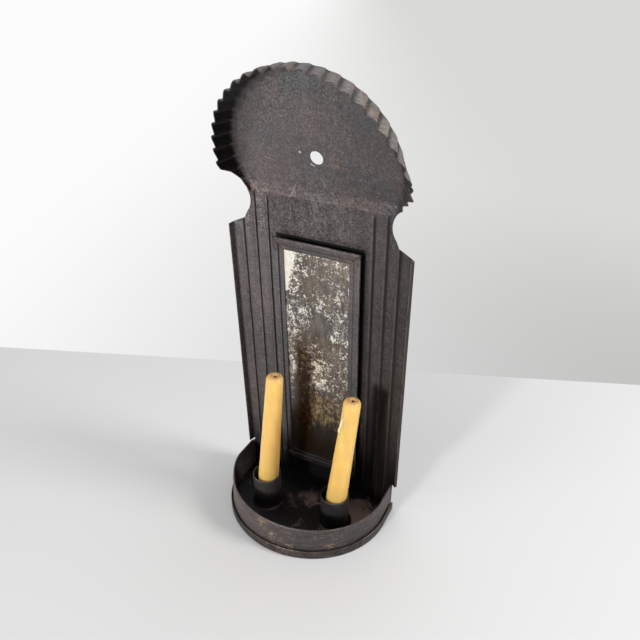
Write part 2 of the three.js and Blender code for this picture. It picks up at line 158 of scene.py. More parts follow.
LIP_SECTION = (
    (0.35, 0.0), (1.6, 0.0), (2.05, 0.25), (2.2, 0.8), (2.2, 3.5), (2.15, 6.9), (1.95, 7.6), (1.55, 7.9),
    (1.15, 7.75), (1.0, 7.2), (0.95, 4.0), (0.9, 0.9), (0.35, 0.7),
)
SOLDER_SECTION = ((0, 0.02), (2, 0.02), (1.5, 0.3), (0.8, 0.8), (0.3, 1.4), (0, 1.9))
BEAD_SECTION = ((0.0, 0.0), (0.66, 0.0), (0.62, 0.6), (0.42, 1.1), (0.16, 1.4), (0.0, 1.4))

# How far the crimps have drifted from an even count, in crimps, at angles round the crest in degrees
CRIMP_DRIFT = ((-20, 0.2), (-5, 0.23), (3, 0.32), (45, 0.1), (90, 0.1), (135, 0.2), (200, 0.7))


class SconceSizes(bpy.types.PropertyGroup):
    """Sizes that a maker of such a sconce would change."""

    sheet: FloatProperty(
        name="Sheet", description="Thickness of the tinned sheet", default=SHEET, min=0.3 * MM, unit="LENGTH"
    )
    crimps: IntProperty(name="Crimps", description="Crimps in a full turn of the crest's edge", default=42, min=12)
    crimp_height: FloatProperty(
        name="Crimp height", description="How far a crimp stands off the flange", default=1.5 * MM, unit="LENGTH"
    )
    crimp_twist: FloatProperty(
        name="Crimp twist", description="How far a crimp leans along the flange, in crimps", default=0.35
    )
    crease_depth: FloatProperty(
        name="Crease depth", description="Depth of the creases down the plate", default=CREASE_DEPTH, unit="LENGTH"
    )
    edge_thickness: FloatProperty(
        name="Edge thickness", description="Thickness of the side edges' folded rims", default=0.9 * MM, unit="LENGTH"
    )
    unevenness: FloatProperty(
        name="Unevenness", description="How far old sheet strays from flat", default=0.35 * MM, unit="LENGTH"
    )


class SconceColours(bpy.types.PropertyGroup):
    """Colours of the sconce's finishes."""

    brown_tin: FloatVectorProperty(
        name="Browned tin", description="Warm colour of the aged sheet", subtype="COLOR", default=(0.132, 0.112, 0.11)
    )
    blue_tin: FloatVectorProperty(
        name="Greyed tin", description="Cool colour of the aged sheet", subtype="COLOR", default=(0.1, 0.102, 0.106)
    )
    # Also laid on the plate's crease ridges as part of a painted highlight.
    bare_tin: FloatVectorProperty(
        name="Bare tin", description="Rubbed spots and edges", subtype="COLOR", default=(0.34, 0.32, 0.3)
    )
    rust: FloatVectorProperty(
        name="Rust", description="Rust in specks and along seams", subtype="COLOR", default=(0.135, 0.082, 0.062)
    )
    # Also laid as painted shade and as a painted shadow on the plate, in the frame's step and on the sockets.
    soot: FloatVectorProperty(
        name="Soot", description="Dark film inside the pan and sockets", subtype="COLOR", default=(0.022, 0.018, 0.017)
    )
    solder: FloatVectorProperty(
        name="Solder", description="Dull solder beads", subtype="COLOR", default=(0.045, 0.038, 0.034)
    )
    silver: FloatVectorProperty(
        name="Silver", description="Sound silvering of the glass", subtype="COLOR", default=(0.9, 0.89, 0.86)
    )
    wax: FloatVectorProperty(
        name="Wax", description="Body colour of the candles", subtype="COLOR", default=(0.925, 0.575, 0.165)
    )
    table: FloatVectorProperty(
        name="Table", description="Table under the sconce", subtype="COLOR", default=(0.715, 0.715, 0.715)
    )


def sizes():
    return bpy.context.scene.sconce_sizes


def tone(name, amount=1.0):
    """One of the sconce's colours, darker or lighter by an amount."""
    return tuple(channel * amount for channel in getattr(bpy.context.scene.sconce_colours, name))


# ---- shader graphs


class Wire:
    """A shader socket that takes part in sums."""

    def __init__(self, paint, socket):
        self.paint = paint
        self.socket = socket

    def __add__(self, other):
        return self.paint.math("ADD", self, other)

    def __sub__(self, other):
        return self.paint.math("SUBTRACT", self, other)

    def __rsub__(self, other):
        return self.paint.math("SUBTRACT", other, self)

    def __mul__(self, other):
        return self.paint.math("MULTIPLY", self, other)

    def __abs__(self):
        return self.paint.math("ABSOLUTE", self)

    __radd__ = __add__
    __rmul__ = __mul__


class Paint:
    """The node graph of one finish, and the colour, roughness and metal that its layers change."""

    def __init__(self, name, kind="materials"):
        self.owner = getattr(bpy.data, kind).new(name)
        self.owner.use_nodes = True
        self.tree = self.owner.node_tree
        self.tree.nodes.clear()
        self.place = self.node("ShaderNodeTexCoord", output="Object")
        self.base = None
        self.rough = 0.5
        self.metallic = 0.0

    def node(self, kind, settings=(), inputs=(), output=0):
        """Any node: its settings first, then the values or wires of its sockets."""
        made = self.tree.nodes.new(kind)
        for key, value in dict(settings).items():
            setattr(made, key, value)
        for key, value in dict(inputs).items():
            if isinstance(value, Wire):
                self.tree.links.new(value.socket, made.inputs[key])
            elif value is not None:
                made.inputs[key].default_value = value
        return Wire(self, made.outputs[output]) if made.outputs else None

    def math(self, operation, *values):
        return self.node("ShaderNodeMath", {"operation": operation}, dict(enumerate(values)))

    def larger(self, first, second):
        return self.math("MAXIMUM", first, second)

    def attribute(self, name):
        return self.node("ShaderNodeAttribute", {"attribute_name": name}, (), "Fac")

    def noise(self, scale, detail=3.0, rough=0.55, distort=0.0, stretch=(1, 1, 1), turn=(0, 0, 0), shift=(0, 0, 0)):
        """Soft noise between 0 and 1, drawn out for streaks and scratches."""
        inputs = {"Vector": self.place, "Location": shift, "Rotation": turn, "Scale": stretch}
        at = self.node("ShaderNodeMapping", {"vector_type": "POINT"}, inputs)
        inputs = {"Vector": at, "Scale": scale, "Detail": detail, "Roughness": rough, "Distortion": distort}
        return self.node("ShaderNodeTexNoise", (), inputs)

    def axes(self):
        """The place as millimetres from the middle of the plate's flat front."""
        x, y, z = (self.node("ShaderNodeSeparateXYZ", (), {"Vector": self.place}, axis) for axis in "XYZ")
        return (x - ORIGIN.x) * (1 / MM), (y - ORIGIN.y) * (1 / MM), z * (1 / MM)

    def ramp(self, value, low, high, start=0.0, end=1.0):
        """start below low, end above high, smooth between."""
        inputs = {"Value": value, "From Min": low, "From Max": high, "To Min": start, "To Max": end}
        return self.node("ShaderNodeMapRange", {"interpolation_type": "SMOOTHSTEP"}, inputs)

    def fade(self, value, low, high):
        """1 below low, 0 above high."""
        return self.ramp(value, low, high, 1, 0)

    def mix(self, factor, first, second, blend="MIX"):
        first, second = ((*c, 1) if isinstance(c, tuple) else c for c in (first, second))
        settings = {"data_type": "RGBA", "blend_type": blend}
        return self.node("ShaderNodeMix", settings, {0: factor, 6: first, 7: second}, 2)

    def shade(self, colour, amount):
        """A colour made darker or lighter by a number."""
        grey = self.node("ShaderNodeCombineColor", (), {0: amount, 1: amount, 2: amount})
        return self.mix(1.0, colour, grey, "MULTIPLY")

    def lay(self, mask, colour):
        """Lays a colour over the finish where the mask is 1."""
        self.base = self.mix(mask, self.base, colour)

    def dim(self, amount):
        """Makes the finish darker or lighter by a number."""
        self.base = self.shade(self.base, amount)

    def furrow(self, amount):
        """Winding furrows in the film, as strong as the amount."""
        line = self.ramp(abs(self.noise(300, 4, 0.6, 0.6) - 0.5), 0, 0.07)
        self.dim(1 + (line * 0.75 - 0.5) * amount)

    def mark(self, start, end, width):
        """One straight mark on an upright sheet, from start to end in x and z, in millimetres."""
        x, _, z = self.axes()
        run = Vector(end) - Vector(start)
        length = run.length
        aside, above = x - start[0], z - start[1]
        along = aside * (run.x / length) + above * (run.y / length)
        across = abs(aside * (run.y / length) - above * (run.x / length))
        inside = self.ramp(along, 0, 0.1 * length) * self.fade(along, 0.9 * length, length)
        return inside * self.fade(across, 0.3 * width, width)

    def dot(self, across, up, size, feather=0.4, level=False):
        """One round mark on an upright sheet, or on a level one with up as its depth, in millimetres."""
        x, y, z = self.axes()
        aside, above = x - across, (y if level else z) - up
        away = self.math("POWER", aside * aside + above * above, 0.5)
        return self.fade(away, size * (1 - feather), size)

    def bump(self, height, distance, strength, normal=None):
        inputs = {"Height": height, "Distance": distance, "Strength": strength, "Normal": normal}
        return self.node("ShaderNodeBump", (), inputs)

    def finish(self, inputs=()):
        """Joins the layers to their shader and hands over the material."""
        layers = {"Base Color": self.base, "Roughness": self.rough, "Metallic": self.metallic}
        shader = self.node("ShaderNodeBsdfPrincipled", (), {**layers, **dict(inputs)})
        self.node("ShaderNodeOutputMaterial", (), {"Surface": shader})
        return self.owner


def tin_finish(name, marks=None, soot=0.0, warmth=0.5, wear=1.0):
    """Browned tinplate: cloudy brown and grey film, fine grain, pin rust, rubbed specks and hair scratches."""
    p = Paint(name)
    cloud = p.noise(26, 4, 0.55)
    mottle = p.noise(210, 5, 0.7)
    grain = p.noise(820, 4, 0.76)
    pits = p.noise(520, 3, 0.6, shift=(3, 1, 7))
    film = p.fade(cloud + mottle * 0.3 - 0.15, 0.6 - 0.3 * warmth, 0.86 - 0.3 * warmth)
    p.base = p.mix(film, tone("blue_tin"), tone("brown_tin"))
    p.dim(p.ramp(mottle, 0.3, 0.72, 0.84, 1.16))
    rougher = p.ramp(p.noise(24, 3, 0.6, shift=(9, 2, 4)), 0.38, 0.62, 0.7, 1.2)
    p.dim(1 + p.ramp(grain, 0.3, 0.72, -0.5, 0.6) * rougher)
    p.dim(p.ramp(p.noise(9, 3, 0.6, shift=(5, 5, 5)), 0.36, 0.64, 0.88, 1.1))
    rust = p.ramp(p.noise(46, 4, 0.7, 0.4), 0.54, 0.74) * p.ramp(pits, 0.5, 0.6)
    p.lay(rust * 0.45, tone("rust"))
    specks = p.ramp(pits, 0.62, 0.69) * p.ramp(mottle, 0.4, 0.6) * wear
    p.lay(specks * 0.4, tone("bare_tin"))
    hair = p.noise(60, 2, 0.5, stretch=(9, 9, 0.5), turn=(0.3, 0.5, 0.2))
    scratches = p.fade(abs(hair - 0.5), 0, 0.006) * p.ramp(mottle, 0.5, 0.62) * wear
    p.lay(scratches * 0.3, tone("bare_tin"))
    p.rough = 0.38 + mottle * 0.14 + grain * 0.08 + rust * 0.25
    p.metallic = 0.66 - rust * 0.5
    if soot:
        p.lay(p.ramp(p.noise(70, 4, 0.6), 0.3, 0.6, soot * 0.75, soot), tone("soot"))
    if marks:
        marks(p)
    height = grain * 0.6 + mottle * 0.5 + pits * 0.3
    return p.finish({"Normal": p.bump(height, 0.12 * MM, 0.8), "Specular IOR Level": 0.4})


def plate_marks(p):
    """Dark lines of grime and painted shade in the creases beside pale ridges, rubbed and partly a painted highlight;
    painted shade towards the right, low down and round the frame; a painted shadow of the right candle.
    """
    x, y, z = p.axes()
    p.dim(p.ramp(p.noise(120, 4, 0.6, stretch=(1, 1, 0.06)), 0.32, 0.68, 0.84, 1.16))
    # Darker in the middle; painted shade darkens the right side.
    p.dim(p.ramp(abs(x), 34, 50, 0.65, 0.92) * p.ramp(x, 12, 70, 0.96, 0.5))
    p.furrow(p.ramp(z, 232, 246, 0.06, 1) * p.ramp(x, 20, 45, 1, 0.35))
    # Painted shade, in soot colour, low on the right by the right candle.
    p.lay(p.fade(z, 45, 135) * p.ramp(x, 15, 50) * 0.7, tone("soot"))
    # Painted shadow of the right candle on the plate.
    candle_shadow = p.fade(abs(x - 54.5), 4, 9.5) * p.fade(z, 122, 132)
    p.lay(candle_shadow * 0.96, tone("soot", 0.4))
    # Painted shade: the plate near black low down over the pan, stronger to the right.
    low_plate_shade = p.fade(z + p.noise(30, 2) * 20, 34, 76)
    p.lay(low_plate_shade * p.ramp(x, -70, -30, 0.5, 0.95), (0.006, 0.006, 0.006))
    # Painted shade: a near-black band on the plate round the frame, in the gap behind its overhang.
    beside = FRAME_HALF_WIDTH / MM + 0.3 - abs(x)
    beyond = FRAME_HALF_HEIGHT / MM + 0.9 - abs(z - FRAME_MIDDLE_Z / MM)
    p.lay(p.ramp(p.math("MINIMUM", beside, beyond), -0.5, 0.4) * 0.96, (0.004, 0.004, 0.004))
    # Each crease: a dark line on its right, grime and painted shade, and a pale line on its left ridge, rubbed and
    # partly a painted highlight.
    wander = p.noise(14, 2, 0.5) * 0.5 - 0.25
    crease_grime_and_shade = ridges = 0.0
    for crease in CREASES:
        for side, broad in ((-1, 0.85), (1, 1.7)):
            aside = x - side * crease / MM + wander
            crease_grime_and_shade = p.larger(crease_grime_and_shade, p.fade(abs(aside - (broad - 0.7)), 0.3, broad))
            ridges = p.larger(ridges, p.fade(abs(aside + 1.15), 0.2, 0.8))
    below_crest = p.fade(z, 268, 271)
    # Pale ridges, rubbed and partly a painted highlight.
    rubbed = ridges * below_crest * p.ramp(p.noise(50, 4, 0.7), 0.38, 0.62) * p.ramp(x, 20, 30, 0.5, 0.16)
    p.lay(rubbed, p.mix(p.noise(35, 3), tone("bare_tin"), tone("rust", 1.8)))
    p.lay(crease_grime_and_shade * below_crest * 0.85, tone("soot"))
    brink = (plate_front(PLATE_HALF) - EDGE_DEPTH) / MM
    rim = p.fade(y, brink + 0.2, brink + 0.9) * p.ramp(x, 60, 66, 1, 0.6) * p.ramp(p.noise(60, 3), 0.36, 0.6)
    p.lay(rim * 0.6, tone("bare_tin"))
    outside = p.ramp(x, PLATE_HALF / MM - 0.5, PLATE_HALF / MM - 0.2)
    p.lay(outside * 0.85, (0.03, 0.016, 0.013))
    p.rough += outside * 0.35
    p.metallic -= outside * 0.4


def plate_back_marks(p):
    """The creases as dark lines, grime along the solder and the foot."""
    x, _, z = p.axes()
    wander = p.noise(14, 2, 0.5) * 0.5 - 0.25
    for crease in CREASES:
        p.lay(p.ramp(abs(abs(x) - crease / MM + wander), 0.2, 1.1, 0.7, 0), tone("soot"))
    blots = p.noise(40, 4, 0.65)
    ends = p.fade(z + blots * 24, 16, 52) + p.ramp(z + blots * 10, 272, 284)
    p.lay(ends * 0.6, tone("soot"))


def crest_marks(p):
    """Painted light, lighter on the left; painted shade on the flange's inside and in its crimps; the rusty lower edge
    of the lap, rubbed and rusty patches, long scratches, a small dent.
    """
    x, _, z = p.axes()
    # Painted light: lighter on the left, darker to the right.
    p.dim(p.ramp(x, -45, 60, 1.14, 0.72))
    # Painted shade on the inside of the flange and its fillet, deepest on the left and in the crimps' valleys.
    flange_shade = p.ramp(p.attribute("flange"), 0.02, 0.85) * p.ramp(x, -46, 0, 0.97, 0.3)
    p.lay(flange_shade * p.ramp(p.attribute("crimp"), 0.86, 0.99, 1, 0.6), (0.006, 0.005, 0.005))
    p.furrow(p.fade(z, 272, 300) * p.ramp(x, 20, 45, 0.85, 0.4))
    crumbs = p.noise(420, 5, 0.75)
    lap = p.fade(z, 271, 276) * p.ramp(p.noise(85, 4, 0.7), 0.4, 0.6) * (0.15 + p.ramp(abs(x), 25, 46) * 0.45)
    p.lay(lap, p.mix(p.ramp(crumbs, 0.4, 0.6), tone("rust"), tone("rust", 2.4)))
    p.lay(p.dot(16, 300, 14, 0.95) * p.ramp(crumbs, 0.5, 0.6) * 0.6, tone("rust", 2.3))
    p.lay(p.fade(abs(z - 276), 3, 14) * p.ramp(crumbs, 0.54, 0.64) * 0.45, tone("rust", 2.2))
    cool = p.dot(-45, 346, 26, 0.9) + p.dot(46, 340, 24, 0.9)
    p.lay(cool * 0.55, tone("blue_tin", 0.85))
    scratches = (
        ((-16.7, 283), (-28.0, 262), 0.45, 0.6),
        ((-43.1, 302.5), (-36.5, 310.6), 0.35, 0.35),
        ((-38, 299), (-32, 298.4), 0.4, 0.3),
        ((-50, 311), (-41, 312), 0.3, 0.3),
        ((0.5, 298.2), (-3.4, 299.8), 0.9, 0.7),
        ((3, 290), (7, 285), 0.7, 0.2),
    )
    for start, end, width, weight in scratches:
        p.lay(p.mark(start, end, width) * weight, tone("bare_tin", 1.3))
    p.lay(p.dot(-9.9, 307, 1.1) * 0.9, tone("bare_tin", 1.6))


def crest_back_marks(p):
    """Crimps on the outside of the flange: pale ridges, rubbed and partly a painted highlight growing to the right,
    with painted shade between them.
    """
    x, _, _ = p.axes()
    crimp, flange = p.attribute("crimp"), p.attribute("flange")
    outer = p.ramp(flange, 0.3, 0.6)
    patches = p.noise(70, 4, 0.65, shift=(2, 4, 6))
    lumps = p.noise(190, 4, 0.65)
    # Pale crimp ridges, rubbed and partly a painted highlight, brighter towards the right.
    rubbed = outer * p.ramp(patches, 0.3, 0.6, 0.3, 1) * p.ramp(crimp + lumps * 0.5, 0.3, 0.9)
    mottled = p.ramp(p.noise(260, 4, 0.7, shift=(4, 0, 2)), 0.4, 0.6, 0.25, 1)
    p.lay(rubbed * p.ramp(x, 5, 52, 0.15, 1) * mottled, (0.25, 0.222, 0.195))
    # Painted shade in the valleys between the crimps, laid in dark tin colour.
    grime = outer * p.fade(crimp + lumps * 0.4, 0.25, 0.6) * p.ramp(patches, 0.35, 0.7, 1, 0.5)
    p.lay(grime * 0.92, tone("brown_tin", 0.16))
    rust = p.ramp(p.noise(90, 4, 0.7), 0.52, 0.66) * p.ramp(flange, 0.1, 0.4)
    p.lay(rust * 0.5, (0.2, 0.12, 0.09))
    p.rough += 0.08


def frame_marks(p):
    """Darker along the top rail, painted shade over the bottom rail, soot and painted shade in the step, soot in the
    mitres, rubbed outer corners.
    """
    x, _, z = p.axes()
    top, bottom = FRAME_TOP / MM, FRAME_BOTTOM / MM
    from_side = FRAME_HALF_WIDTH / MM - abs(x)
    from_end = FRAME_HALF_HEIGHT / MM - abs(z - FRAME_MIDDLE_Z / MM)
    across = p.math("MINIMUM", from_side, from_end)
    # Darker overall and darker still along the top rail.
    p.dim(p.ramp(z, top - 14, top - 7, 0.88, 0.6))
    # Painted shade: the bottom rail near black.
    p.dim(p.ramp(z, bottom + 8, bottom + 34, 0.25, 1))
    step = p.fade(abs(across - 5.15), 0.25, 0.7)
    mitre = p.fade(abs(from_side - from_end), 0.2, 0.7)
    corner = p.fade(p.larger(from_side, from_end), 8, 15)
    p.lay(corner * p.ramp(p.noise(160, 4, 0.7), 0.46, 0.62) * 0.45, tone("rust", 1.6))
    # Dark lines: soot and painted shade in the step, soot in the mitre joints.
    p.lay(p.larger(step * 0.75, mitre * 0.8), tone("soot"))
    rubbed = p.fade(across, 0.2, 1.1) * p.ramp(p.noise(70, 4, 0.7), 0.42, 0.6)
    p.lay(rubbed * 0.4, tone("bare_tin"))


def pan_marks(p):
    """Painted light, lighter on the left and darker to the right; long scratches and a few gold-brown rubbed places
    round the outside of the pan.
    """
    x, _, _ = p.axes()
    p.lay(0.4, (0.125, 0.093, 0.085))
    # Painted light: lighter on the left, darker to the right.
    p.dim(p.ramp(x, -60, 15, 1.36, 0.76))
    hair = p.noise(40, 3, 0.6, stretch=(1, 1, 22), turn=(0.05, 0.03, 0))
    rubbed = p.ramp(hair, 0.54, 0.62) * p.ramp(p.noise(60, 4, 0.7), 0.42, 0.56)
    p.lay(rubbed * 0.5, tone("rust", 2.2))
    fine = p.noise(75, 4, 0.7, stretch=(1, 1, 16), turn=(0.08, 0.02, 0), shift=(3, 0, 1))
    p.dim(p.ramp(fine, 0.36, 0.64, 0.68, 1.02))
    dark = p.fade(hair, 0.36, 0.44) * p.ramp(p.noise(45, 3, 0.6), 0.45, 0.6)
    p.lay(dark * 0.45, tone("soot"))
    spread = p.dot(-2, 14, 9, 0.9) + p.dot(-13, 23, 7, 0.9) + p.dot(45, 11, 5, 0.8) + p.dot(15, 9, 6, 0.9)
    gilt = p.ramp(p.noise(400, 5, 0.75, stretch=(0.8, 0.8, 1.3)) + spread * 0.14, 0.61, 0.68)
    p.lay(gilt * 0.6, (0.42, 0.3, 0.19))


def floor_marks(p):
    """Black soot and painted shade on the floor, darkest at the back; warm patches of wear with a painted sheen,
    brighter to the right; a browner lip with painted shade on its left.
    """
    x, y, z = p.axes()
    places = p.dot(44, -24, 25, 0.7, level=True) * 1.5 + p.dot(0, -24, 22, 0.9, level=True) * 0.8
    wear_and_sheen = p.ramp(p.noise(60, 5, 0.7, 0.3) + places * 0.22, 0.56, 0.74)
    inner = p.fade(z, 0.75, 0.95)
    lip = 1 - inner
    # Black soot and painted shade over the floor.
    p.lay(inner * 0.85, (0.008, 0.007, 0.007))
    # Patches of wear with a painted sheen, brighter to the right.
    p.lay(inner * wear_and_sheen * 0.85, p.shade((0.34, 0.25, 0.21), p.ramp(x, 15, 42, 0.8, 1.8)))
    # Painted shade: darker still at the back, by the plate.
    p.lay(inner * p.ramp(y, -28, -8) * p.ramp(x, 20, 50, 1, 0.3) * 0.9, (0.005, 0.005, 0.005))
    edge_tone = p.mix(p.ramp(p.noise(130, 5, 0.75), 0.4, 0.62), (0.032, 0.025, 0.023), (0.13, 0.095, 0.078))
    # Painted shade: the lip darker on the left.
    p.lay(lip * 0.75, p.shade(edge_tone, p.ramp(x, -66, -12, 0.3, 0.62)))
    gilt = p.ramp(p.noise(340, 5, 0.72), 0.56, 0.64) * p.ramp(abs(x + 2), 12, 32, 1, 0.12)
    p.lay(gilt * lip * 0.7, (0.36, 0.24, 0.14))
    p.rough -= wear_and_sheen * 0.06


def socket_marks(p):
    """Darker towards the floor, a rubbed rim, and painted shade over the right socket."""
    x, _, z = p.axes()
    # Darker towards the floor.
    p.lay(p.fade(z + p.noise(60, 3) * 8, 15, 27) * 0.85, tone("soot", 0.5))
    rim = p.ramp(z, 32.6, 33.7) * p.ramp(p.noise(90, 3), 0.36, 0.55)
    p.lay(rim * 0.4, tone("bare_tin"))
    # Painted shade: the right socket darker.
    p.dim(p.ramp(x, 0, 20, 1, 0.6))


def mirror_finish():
    """Old silvering behind glass: sound flecks over a dull grey ground, gold-brown staining low down, a painted
    reflection of the dark pan and of the left candle, a painted shadow along the left edge.
    """
    p = Paint("old_silvering")
    x, _, z = p.axes()
    glass_half_width, glass_bottom, glass_height = 29.6, 32.9, 202.3
    across = x * (1 / glass_half_width)
    up = (z - glass_bottom) * (1 / glass_height)
    lobes = p.noise(680, 6, 0.78)
    clumps = p.noise(190, 3, 0.6)
    fields = p.noise(42, 2, 0.5, shift=(0.7, 0, 0.3))
    drawn = p.noise(260, 4, 0.65, stretch=(1, 1, 0.25), shift=(1, 0, 0))
    gold = p.noise(340, 6, 0.75, stretch=(1, 1, 0.7), shift=(2, 2, 2))

    # Where the silver is sound
    left = p.fade(across, -1.0, -0.48)
    corner = left * p.ramp(up + clumps * 0.3, 0.93, 1.12)
    top = p.ramp(up, 0.95, 1.0) * p.fade(across, 0.2, 0.7)
    aside = abs(across - 0.05)
    heart = p.fade(aside, 0.1, 0.55) * p.fade(abs(up + drawn * 0.1 - 0.495), 0.04, 0.12)
    flank = p.ramp(across, 0.3, 0.8) * p.fade(abs(up + drawn * 0.1 - 0.53), 0.06, 0.14)
    low = p.fade(up + drawn * 0.08, 0.27, 0.35)
    bare = p.fade(abs(up - 0.68), 0.02, 0.1) * p.fade(aside, 0.1, 0.45)
    sound = lobes + clumps * 0.42 + fields * 0.22 + p.ramp(across, 0.1, 0.9, 0, -0.025)
    sound += corner * 0.42 + left * p.ramp(up, 0.4, 0.6, -0.02, 0.06) + top * 0.1 + heart * 0.08 + flank * 0.05
    sound -= low * 0.5 + bare * 0.12
    # Painted reflection of the left candle: a dark column where the silver gives way.
    column = p.fade(abs(across + 0.45 + (drawn - 0.5) * 0.5), 0.12, 0.36) * p.fade(up, 0.54, 0.66)
    silver = p.ramp(sound, 0.872, 0.94) * (1 - column * 0.85)

    # The ground between the flecks, with the painted reflection of the left candle in the column and of the dark pan
    # low down
    p.base = p.mix(p.ramp(p.noise(34, 3, 0.6), 0.4, 0.6), (0.125, 0.11, 0.103), (0.148, 0.12, 0.096))
    p.dim(p.ramp(drawn, 0.34, 0.66, 0.72, 1.25))
    p.dim(p.ramp(lobes, 0.35, 0.65, 0.8, 1.2))
    p.lay(column * p.ramp(lobes, 0.3, 0.5, 0.75, 1), (0.034, 0.012, 0.002))
    # Painted reflection of the dark pan: dark brown at the bottom.
    p.lay(p.fade(up, 0.04, 0.3) * 0.9, (0.045, 0.028, 0.014))

    # The gold-brown staining, partly turned to the painted candle reflection, then the flecks over it
    band = p.fade(abs(up + drawn * 0.14 - 0.35), 0.04, 0.13) * p.ramp(across, -0.6, -0.2)
    around = p.fade(up, 0.54, 0.68) * p.ramp(p.noise(70, 3, 0.6), 0.44, 0.6) * p.ramp(up, 0.1, 0.3)
    spread = p.larger(p.larger(band, column * 0.7), around * 0.6)
    gilt = p.ramp(gold + spread * 0.24 + clumps * 0.16, 0.72, 0.95) * p.ramp(up, 0.03, 0.16)
    gold_tone = p.mix(p.ramp(drawn, 0.4, 0.6), (0.33, 0.19, 0.05), (0.62, 0.47, 0.23))
    # Gold flecks, turned dark orange in the column as part of the candle's painted reflection.
    p.lay(gilt * (0.74 - column * 0.14), p.mix(column, gold_tone, (0.21, 0.1, 0.022)))
    p.lay(silver, p.mix(p.ramp(gold, 0.35, 0.6), tone("silver"), (0.8, 0.72, 0.56)))
    p.lay(p.fade(across, -0.95, -0.55) * p.fade(up, 0.2, 0.32) * 0.8, (0.1, 0.068, 0.05))
    # Painted shadow of the frame's left rail: a black strip down the glass's left edge.
    p.lay(p.fade(across + 1, 0.04, 0.08), (0.008, 0.007, 0.006))
    for speck in ((-4.7, 57.6), (7.5, 48.1)):
        p.lay(p.dot(*speck, 1.3), (0.01, 0.008, 0.006))
    # Painted reflection of the dark pan: the lower half darker.
    p.dim(p.ramp(up, 0.28, 0.5, 0.74, 1))
    p.rough = 0.3 - silver * 0.12 + gilt * 0.1
    p.metallic = 0.6 - silver * 0.3 - gilt * 0.3
    normal = p.bump(p.noise(16, 2, 0.5), 1.0 * MM, 0.4, p.bump(lobes, 0.05 * MM, 0.4))
    coat = {"Coat Weight": 0.12 - column * 0.1, "Coat Roughness": 0.04}
    return p.finish({"Normal": normal, "Specular IOR Level": 0.22, **coat})


def wax_finish():
    """Beeswax with a translucent body, a browned ring at the top and a few specks."""
    p = Paint("beeswax")
    below = p.attribute("below_tip") * (1 / MM)
    cloud = p.noise(60, 3, 0.5)
    streaks = p.noise(150, 4, 0.6, stretch=(1, 1, 0.12))
    p.base = p.mix(p.ramp(cloud, 0.35, 0.65) * 0.4, tone("wax"), tone("wax", 0.85))
    p.dim(p.ramp(streaks, 0.35, 0.65, 0.93, 1.03))
    p.lay(p.fade(below + p.noise(300, 3, 0.6) * 2.4, 1.6, 5.2) * 0.5, (0.6, 0.37, 0.17))
    p.lay(p.fade(below + p.noise(500, 3) * 0.8, 0.45, 1.2) * 0.35, (0.16, 0.085, 0.035))
    cells = p.node("ShaderNodeTexVoronoi", (), {"Vector": p.place, "Scale": 150}, "Distance")
    specks = p.fade(cells, 0.03, 0.07) * p.ramp(p.noise(35, 2), 0.6, 0.66)
    p.lay(specks * 0.5, (0.25, 0.12, 0.05))
    p.rough = 0.36 + cloud * 0.2
    body = {"Subsurface Weight": 0.75, "Subsurface Radius": (0.011, 0.005, 0.0012), "Subsurface Scale": 1.0}
    coat = {"Coat Weight": 0.12, "Coat Roughness": 0.35}
    return p.finish({"Normal": p.bump(p.noise(90, 4, 0.5) + streaks * 0.3, 0.3 * MM, 0.6), **body, **coat})


def grained_finish(name, tones, grain, stretch=1, spread=0.2, bump=0.1, strength=0.6, rough=0.9, rougher=0, metal=0):
    """A simple finish: one grain moves it between two tones, raises its bumps and may roughen it."""
    p = Paint(name)
    lumps = p.noise(*grain, stretch=(1, 1, stretch))
    p.base = p.mix(p.ramp(lumps, 0.5 - spread, 0.5 + spread), *tones)
    p.rough = rough + lumps * rougher if rougher else rough
    p.metallic = metal
    return p.finish({"Normal": p.bump(lumps, bump * MM, strength)})


def wax_run_finish():
    tones = ((0.9, 0.66, 0.3), (0.96, 0.8, 0.5))
    return grained_finish("beeswax_run", tones, (400, 3, 0.6), spread=0.15, bump=0.2, rough=0.4, rougher=0.2)


def solder_finish():
    name = "dull_solder"
    if name in bpy.data.materials:
        return bpy.data.materials[name]
    tones = (tone("solder", 0.25), tone("solder"))
    return grained_finish(name, tones, (300, 4, 0.6), bump=0.3, rough=0.4, rougher=0.2, metal=0.85)


def card_finish():
    tones = ((0.2, 0.135, 0.075), (0.3, 0.22, 0.13))
    return grained_finish("brown_card", tones, (700, 5, 0.7), stretch=0.3, strength=0.5)


def wick_finish():
    tones = ((0.006, 0.005, 0.004), (0.045, 0.03, 0.02))
    return grained_finish("charred_wick", tones, (1800, 3, 0.6), stretch=0.4, spread=0.15)


# ---- shapes


def strewn(place, scale, seed):
    """Smooth unevenness between -1 and 1."""
    return noise.noise(Vector(place) * scale + Vector((seed, -seed, seed * 0.5)))


def smoothstep(value, low, high):
    t = min(max((value - low) / (high - low), 0), 1)
    return t * t * (3 - 2 * t)


def lerp(a, b, t):
    return a + (b - a) * t


def lattice(columns, rows, position, caps=False):
    """A grid of columns by rows, moved vertex by vertex to position(column, row)."""
    bm = bmesh.new()
    bmesh.ops.create_grid(bm, x_segments=columns, y_segments=rows, size=0.5)
    for vertex in bm.verts:
        vertex.co = position(round((vertex.co.x + 0.5) * columns), round((vertex.co.y + 0.5) * rows))
    bmesh.ops.remove_doubles(bm, verts=bm.verts, dist=WELD)
    if caps:
        bmesh.ops.holes_fill(bm, edges=[edge for edge in bm.edges if edge.is_boundary], sides=0)
    bmesh.ops.recalc_face_normals(bm, faces=bm.faces)
    return bm


